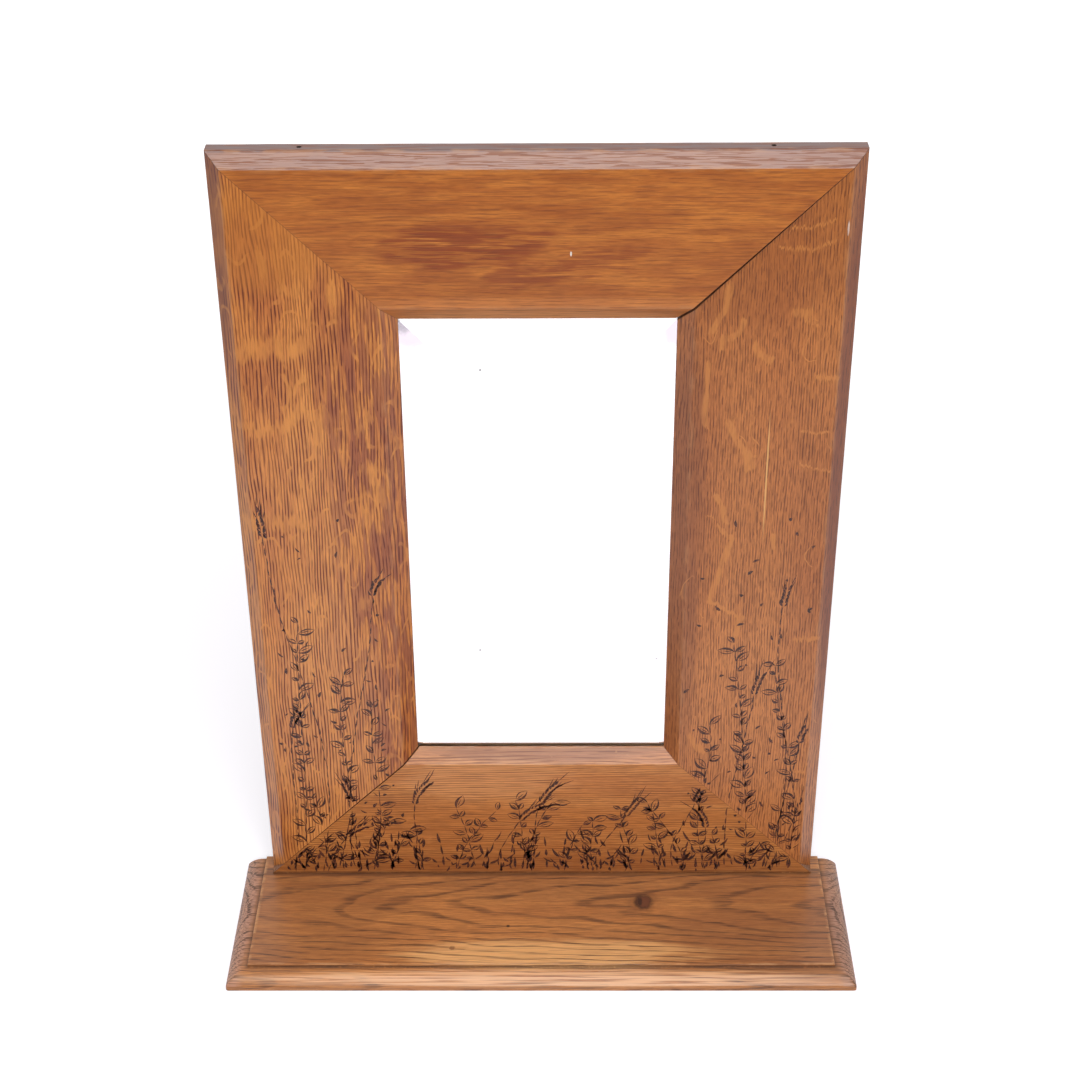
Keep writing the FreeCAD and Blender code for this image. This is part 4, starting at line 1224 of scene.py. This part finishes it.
glass, tree, surface = new_material("mirror_plate_glass")
clear = {"Base Color": (1, 1, 1, 1), "Roughness": 0.0, "IOR": 1.52, "Transmission Weight": 1.0}
coat(tree, surface, "clear glass", clear)

silver, tree, surface = new_material("mirror_silver")
fixed = place_in_mm(tree)
haze = put(tree, "TexNoise", "faint haze", {"Vector": fixed, "Scale": 0.02, "Detail": 3.0}).outputs[0]
colour = over(tree, rise(tree, haze, 0.3, 0.7), tint(248, 248, 249), tint(252, 252, 251), "haze")
mitre_line = (glass_high.x - glass_high.z) / MM + SEEN_LOWER
spread = put(tree, "SeparateXYZ", "place on the silver", {0: fixed}).outputs
outward = calc(tree, "ABSOLUTE", spread["X"], 0.0, "outward from the middle")
under_mitre = calc(tree, "SUBTRACT", outward, spread["Z"], "outward less upward")
on_sides = rise(tree, under_mitre, mitre_line, mitre_line + MITRE_BLUR, "behind a side bevel")
for label, (centre, size, strength, paint) in SILVER_MARKS.items():
    values = {"Vector": fixed, "Centre": centre, "Size": size, "Ragged": 0.6}
    mask = put(tree, "Group", label, values, node_tree=spot).outputs[0]
    if paint is not SPECK:
        mask = calc(tree, "MULTIPLY", mask, on_sides, "side bevels only")
    colour = over(tree, calc(tree, "MULTIPLY", mask, strength), colour, paint, label)
coat(tree, surface, "silver", {"Base Color": colour, "Metallic": 1.0, "Roughness": 0.0})
print("marks on the silver:", list(SILVER_MARKS))

# %% [markdown]
# One mesh makes the plate: its front and edges are a glass that only refracts, and its back face is a
# silver that only reflects, seen through the glass. Two touching pieces would share one plane, and a
# renderer can't tell which of two such faces comes first. The bevel then shows as it does on the real
# plate, by bending what is seen. The coat of paint on the silver is the CAD node just behind it.

# %% Mirror plate
BEVEL_W, EDGE_T = 26.0 * MM, 3.0 * MM
SILVER_GAP = 0.03 * MM


def ring_of(inset, y):
    """The plate's outline, drawn in by an inset, at one depth."""
    left, right = glass_low.x + inset, glass_high.x - inset
    low, high = glass_low.z + inset, glass_high.z - inset
    return [(left, y, low), (right, y, low), (right, y, high), (left, y, high)]


plate_mesh = bpy.data.meshes.new("mirror_plate")
crown, shoulder = ring_of(BEVEL_W, glass_low.y), ring_of(0, glass_high.y - EDGE_T)
heel = ring_of(0, glass_high.y - SILVER_GAP)
sides = [(i, (i + 1) % 4) for i in range(4)]
plate_faces = [(0, 1, 2, 3), (11, 10, 9, 8)]
plate_faces += [(j, i, i + 4, j + 4) for i, j in sides]
plate_faces += [(j + 4, i + 4, i + 8, j + 8) for i, j in sides]
plate_mesh.from_pydata(crown + shoulder + heel, [], plate_faces)
plate = add_piece("mirror_plate", plate_mesh, "frame", "mirror_plate", glass, silver)
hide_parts("mirror_glass")
plate_mesh.polygons[1].material_index = 1
print("plate faces:", [tuple(round(v, 2) for v in face.normal) for face in plate_mesh.polygons])


def dress(name, material):
    """Give a CAD node its finish in place of the plain colour that it came with."""
    node[name].data.materials.clear()
    node[name].data.materials.append(material)


paint, tree, surface = new_material("backing_paint")
brushed = put(tree, "TexNoise", "brush marks", {"Vector": place_on_piece(tree), "Scale": 90.0, "Detail": 4.0})
colour = over(tree, brushed.outputs[0], tint(74, 70, 70), tint(96, 84, 80), "grey paint")
coat(tree, surface, "backing paint", {"Base Color": colour, "Roughness": 0.7})
dress("mirror_silvering", paint)
print("paint on the silver:", paint.name)

# %% [markdown]
# ## Penwork
#
# Plain grasses, leafy sprays and barley stand along the foot of the frame and up both stiles, in dark umber
# line. They could be painted by a texture, but a line that follows a stem is easier to lay down as a piece
# of its own. Every plant is made of pen strokes, pointed at both ends. Places are in mm on the front face,
# and the hand that draws is seeded, so the drawing is irregular but the same in every run.

# %% Pen strokes
hand = random.Random(41)
strokes = []
SHORTEST, DASH_LONG, SWAY = 0.3, 9, 0.06
FINE_PEN = (0.8, 1.3)


def stroke(start, tip, bow=0.0, width=1.0):
    """Keep one pen stroke: a bowed line from start to tip, in mm, with a belly of that width."""
    if (tip - start).length > SHORTEST:
        strokes.append((start, tip, bow, width))


def stem(root, height, lean):
    """A swaying stem of short dashes. Returns the points along it."""
    count = max(3, round(height / DASH_LONG))
    sway = hand.uniform(-SWAY, SWAY) * height
    places = []
    for i in range(count + 1):
        t = i / count
        places.append(root + Vector((lean * t ** 1.6 + sway * math.sin(5 * t), height * t)))
    for low, high in zip(places, places[1:]):
        stroke(low, low.lerp(high, hand.uniform(0.9, 1.05)), hand.uniform(-0.7, 0.7), hand.uniform(*FINE_PEN))
    return places


def turned(direction, degrees):
    """A direction turned to the left."""
    angle = math.radians(degrees)
    cos, sin = math.cos(angle), math.sin(angle)
    return Vector((direction.x * cos - direction.y * sin, direction.x * sin + direction.y * cos))


print("pen ready")

# %% [markdown]
# Each plant is a small function. Lengths and angles are drawn from the hand within limits, so no two are
# alike. A blade of grass takes two or three strokes, and an open leaf takes two sides and a midrib.

# %% Blades and leaves
LONG_BLADE, LONG_LEAF = 30, 8
BLADE_PEN, LEAF_PEN = (1.2, 2.6), (1.5, 2.5)
HEAVY_BOW, LIGHT_BOW = (0.16, 0.26), (0.14, 0.24)


def blade(root, height, lean):
    """One long leaf of grass, drawn in two or three broken strokes along a bend."""
    parts = 3 if height > LONG_BLADE else 2
    places = [root + Vector((lean * (i / parts) ** 2, height * i / parts)) for i in range(parts + 1)]
    for low, high in zip(places, places[1:]):
        start = low.lerp(high, hand.uniform(0.0, 0.2))
        stroke(start, low.lerp(high, hand.uniform(0.7, 1.0)), -0.06 * lean, hand.uniform(*BLADE_PEN))


def leaf(place, along, long):
    """An open leaf: two bowed sides, one of them heavier, and half a midrib."""
    tip = place + along * long
    heavy = hand.choice((-1, 1))
    stroke(place, tip, heavy * hand.uniform(*HEAVY_BOW) * long, hand.uniform(*LEAF_PEN))
    stroke(place.lerp(tip, 0.1), tip, -heavy * hand.uniform(*LIGHT_BOW) * long, hand.uniform(*FINE_PEN))
    if long > LONG_LEAF:
        stroke(place.lerp(tip, 0.2), place.lerp(tip, 0.7), 0.0, 0.8)


print("pens for blades and leaves:", BLADE_PEN, LEAF_PEN)

# %% [markdown]
# Two plants have a stem. A spray carries open leaves along it, and barley a nodding ear at its end, with
# pairs of kernels and long beards.

# %% Sprays and barley
LEAF_TURN, LEAF_LONG = (25, 75), (6, 15)
SECOND_LEAF, SECOND_TURN, SECOND_LONG = 0.45, (30, 80), (5, 11)
KERNEL_PAIRS, KERNEL_STEP, KERNEL_TURN, KERNEL_LONG = (6, 9), 3.0, (18, 36), (4.0, 6.8)
BEARD, BEARD_TURN, BEARD_LONG = 0.7, (4, 22), (6, 14)
KERNEL_PEN, BEARD_PEN = (1.4, 2.4), 0.7


def spray(root, height, lean):
    """A stem with leaves on one side or on both."""
    places = stem(root, height, lean)
    for below, place in zip(places, places[1:]):
        along = (place - below).normalized()
        side = hand.choice((-1, 1))
        leaf(place, turned(along, side * hand.uniform(*LEAF_TURN)), hand.uniform(*LEAF_LONG))
        if hand.random() < SECOND_LEAF:
            leaf(place, turned(along, -side * hand.uniform(*SECOND_TURN)), hand.uniform(*SECOND_LONG))


def barley(root, height, lean):
    """A stem with a nodding ear: pairs of kernels, and beards on many of the upper ones."""
    places = stem(root, height, lean)
    bend = math.copysign(hand.uniform(1, 6), lean)
    place, along = places[-1], (places[-1] - places[-2]).normalized()
    for i in range(hand.randint(*KERNEL_PAIRS)):
        for side in (-1, 1):
            tip = place + turned(along, side * hand.uniform(*KERNEL_TURN)) * hand.uniform(*KERNEL_LONG)
            stroke(place + turned(along, side * 90) * 0.8, tip, side * 0.5, hand.uniform(*KERNEL_PEN))
            if i > 2 and hand.random() < BEARD:
                beard = turned(along, side * hand.uniform(*BEARD_TURN)) * hand.uniform(*BEARD_LONG)
                stroke(tip, tip + beard, 0.0, BEARD_PEN)
        along = turned(along, -bend)
        place = place + along * KERNEL_STEP


print("plants:", [plant.__name__ for plant in (blade, spray, barley)])

# %% [markdown]
# The plants grow in a loose hedge: low along the bottom rail, and taller up the stiles. Rows of sprays and
# barley come first, then the tall plants, tufts of grass at the foot and loose dabs of the pen.

# %% Hedge
UP = Vector((0, 1))
ROOTS = (1.5, 9.0)
# Each row is a plant, how many, the first place, the step, the scatter, the heights and the lean.
ROWS = (
    (spray, 17, -196, 24.5, 9, (34, 76), 34),
    (barley, 9, -190, 47.5, 14, (38, 74), 22),
)
TALL_PLANTS = (
    (-196, 246, 12, spray), (-182, 330, -14, barley), (-168, 196, 22, spray), (-150, 270, 16, barley),
    (-138, 165, 10, spray), (-205, 150, 10, barley), (204, 205, -16, spray), (186, 262, 10, barley),
    (170, 232, -20, spray), (152, 176, 14, barley), (136, 150, -8, spray), (196, 130, 8, barley),
)
TUFTS, FIRST_TUFT, TUFT_STEP, TUFT_SCATTER = 46, -206, 9.1, 4
BLADES, BLADE_SCATTER, BLADE_LEAN = (1, 4), 3, 15
BLADE_LEAST, BLADE_MORE = 9, 34
DABS, DAB_X, DAB_TURN = 120, (108, 208), 80
DAB_LOW, DAB_RANGE = 60, 300
DAB_LONG, DAB_WIDE = (2.0, 6.5), (1.2, 2.6)


def rooted(x):
    """A root in the strip along the foot of the frame."""
    return Vector((x, FOOT / MM + hand.uniform(*ROOTS)))


for plant, count, first, step, scatter, heights, lean in ROWS:
    for i in range(count):
        x = first + step * i + hand.uniform(-scatter, scatter)
        plant(rooted(x), hand.uniform(*heights), hand.uniform(-lean, lean))
for x, height, lean, plant in TALL_PLANTS:
    plant(rooted(x), height, lean)
for tuft in range(TUFTS):
    middle = FIRST_TUFT + TUFT_STEP * tuft + hand.uniform(-TUFT_SCATTER, TUFT_SCATTER)
    for count in range(hand.randint(*BLADES)):
        root = rooted(middle + hand.uniform(-BLADE_SCATTER, BLADE_SCATTER))
        height = BLADE_LEAST + BLADE_MORE * hand.random() ** 1.6
        blade(root, height, hand.uniform(-BLADE_LEAN, BLADE_LEAN))
for dab in range(DABS):
    side = hand.choice((-1, 1))
    place = Vector((side * hand.uniform(*DAB_X), DAB_LOW + DAB_RANGE * hand.random() ** 1.5))
    along = turned(UP, hand.uniform(-DAB_TURN, DAB_TURN)) * hand.uniform(*DAB_LONG)
    stroke(place, place + along, 0.5, hand.uniform(*DAB_WIDE))
print("strokes drawn:", len(strokes))

# %% [markdown]
# A stroke has an outline that swells from a point and closes in another. One that would cross a joint or run
# onto a chamfer is left out, as a pen would stop there, so each point is asked which board it is on.

# %% Outlines
EDGE_CLEAR, FOOT_CLEAR = 1.2, 0.8
LONG_STROKE = 12


def outline(start, tip, bow, width):
    """The closed outline of a stroke."""
    steps = 8 if (tip - start).length > LONG_STROKE else 5
    across = Vector((start.y - tip.y, tip.x - start.x)).normalized()
    left, right = [], []
    for step in range(steps + 1):
        t = step / steps
        middle = start.lerp(tip, t) + across * bow * 4 * t * (1 - t)
        half = width * (0.06 + 0.44 * math.sin(math.pi * t ** 0.8))
        left.append(middle + across * half)
        right.append(middle - across * half)
    return left + right[::-1]


def board_under(place):
    """The board whose front face this place is on, or None on a chamfer, on a joint or off the frame."""
    x, z = abs(place.x), place.y - FOOT / MM
    from_mitre = z - (OUT_X / MM - x)
    outside = x > (OUT_X - OUTER_CHAMFER[0]) / MM - EDGE_CLEAR
    inside_edge = INNER_CHAMFER[0] / MM + EDGE_CLEAR
    inside = x < SIGHT_X / MM + inside_edge and z > BOARD / MM - inside_edge
    if abs(from_mitre) < EDGE_CLEAR or z < FOOT_CLEAR or outside or inside:
        return None
    return "rail" if from_mitre < 0 else ("left" if place.x < 0 else "right")


print("points in the first outline:", len(outline(*strokes[0])))

# %% [markdown]
# Every stroke becomes a very thin closed plate of ink, sunk a little into the wood so that no two faces
# share a plane. The ink is varnished with the boards, and is thin and brown where the pen ran dry.

# %% Ink
INK_PROUD, INK_SUNK = 0.06 * MM, 0.12 * MM

shape = bmesh.new()
kept = 0
for drawn in strokes:
    edge = outline(*drawn)
    under = {board_under(place) for place in edge}
    if len(under) > 1 or None in under:
        continue
    kept += 1
    front = [shape.verts.new((p.x * MM, FRONT - INK_PROUD, p.y * MM)) for p in edge]
    back = [shape.verts.new((p.x * MM, FRONT + INK_SUNK, p.y * MM)) for p in edge]
    shape.faces.new(front)
    shape.faces.new(back[::-1])
    for i in range(len(edge)):
        j = (i + 1) % len(edge)
        shape.faces.new((front[j], front[i], back[i], back[j]))
ink_mesh = to_mesh(shape, "penwork")

ink, tree, surface = new_material("umber_ink")
pen = {"Vector": place_in_mm(tree), "Scale": 0.6, "Detail": 3.0}
thin = rise(tree, put(tree, "TexNoise", "thin and full ink", pen).outputs[0], 0.42, 0.70)
colour = over(tree, thin, tint(54, 30, 26), tint(118, 64, 42), "ink")
coat(tree, surface, "ink under varnish", {"Base Color": colour, "Roughness": 0.36})
add_piece("penwork", ink_mesh, "frame", "oak_frame", ink)
print("strokes kept:", kept, "faces:", len(ink_mesh.polygons))

# %% [markdown]
# ## Behind the frame
#
# A thin pine board closes the back, held by brads. Brass straps with D-shaped rings hang the mirror. Pine
# uses the oak recipe with other sizes, since it has rings but no rays to speak of. The tongues across the
# mitres are bare oak.

# %% Pine
pine = oak("pine_backboard", {
    "grain": "along Z, upright",
    "pale": tint(206, 166, 112), "mid": tint(190, 146, 92), "dark": tint(138, 92, 52),
    "red": tint(184, 136, 84), "ray": tint(206, 166, 112), "worn": tint(210, 176, 128),
    "bands": (260.0, 40.0, 0.5, 0.22, 0.55),
    "red bands": (160.0, 30.0, 0.5, 0.40, 0.35), "red strength": 0.4,
    "pores": (40.0, 0.8, 0.5, 0.62, 0.10), "pore strength": 0.25,
    "rings": ((0.0, 30.0, -50.0), 0.06, 6.0, 0.5, 14.0), "ring tone": 0.4,
    "dashes": (200.0, 3.0, 0.0, 0.2, 0.2), "dash strength": 0.4,
    "plates": (20.0, 6.0, 1.0, 0.80, 0.05), "ray strength": 0.1, "ray colour": 0.1, "teeth": 0.0,
    "roughness": 0.68, "relief": 0.3,
})
dress("backboard", pine)
for name in ("top_left_tongue", "top_right_tongue", "bottom_left_tongue", "bottom_right_tongue"):
    dress(name, bare_oak["along X, upright"])
print("pine and tongues dressed")

# %% [markdown]
# Old brass is brown where it is left alone and bright where it is rubbed. Steel brads and screws go grey
# and rusty. Both are metals with a dirt layer that is not, so the same mask goes into colour, roughness and
# metallic.

# %% Metals
RUB_MARKS = {"Along": 6.0, "Across": 0.25, "Threshold": 0.5, "Softness": 0.3}
RUB_DEPTH, RUB_STRENGTH = 0.05 * MM, 0.15
TARNISH_DULLS, TARNISH_HIDES, RUBS_DULL = 0.22, 0.35, 0.10
TARNISH_FADES = 0.25


def old_metal(name, bright_colour, dull_colour, tarnish, roughness):
    """A metal with a cloudy tarnish, which starts at this level of its noise, and fine rub marks."""
    material, tree, surface = new_material(name)
    fixed = place_in_mm(tree)
    cloud = put(tree, "TexNoise", "tarnish", {"Vector": fixed, "Scale": 0.13, "Detail": 4.0}).outputs[0]
    mask = rise(tree, cloud, tarnish, tarnish + TARNISH_FADES)
    scratch = put(tree, "Group", "rub marks", {"Vector": fixed, **RUB_MARKS}, node_tree=streaks).outputs[0]
    rough = calc(tree, "ADD", roughness, calc(tree, "MULTIPLY", mask, TARNISH_DULLS))
    rough = calc(tree, "ADD", rough, calc(tree, "MULTIPLY", scratch, RUBS_DULL), "roughness")
    metallic = calc(tree, "SUBTRACT", 1.0, calc(tree, "MULTIPLY", mask, TARNISH_HIDES), "metallic")
    relief = {"Height": scratch, "Strength": RUB_STRENGTH, "Distance": RUB_DEPTH}
    bump = put(tree, "Bump", "rub marks", relief).outputs[0]
    colour = over(tree, mask, bright_colour, dull_colour, "tarnish")
    finish = {"Base Color": colour, "Roughness": rough, "Metallic": metallic, "Normal": bump}
    coat(tree, surface, name, finish)
    return material


brass = old_metal("old_brass", tint(166, 126, 66), tint(96, 66, 36), 0.38, 0.34)
steel = old_metal("old_steel", tint(150, 148, 144), tint(96, 72, 58), 0.50, 0.38)
for name in node:
    if "hanger" in name:
        dress(name, brass)
for name in ("backboard_brads", "shelf_screws"):
    dress(name, steel)
print("metals dressed")

# %% [markdown]
# ## The size of the finished mirror
#
# The boxes of the measured and the dressed part are gathered, and the size of the dressed one is printed.

# %% Finish
low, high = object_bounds()
sizes = {"cad": [list(cad_low), list(cad_high)], "visual": [list(low), list(high)]}
print("visual box:", [round(v, 4) for v in high - low])
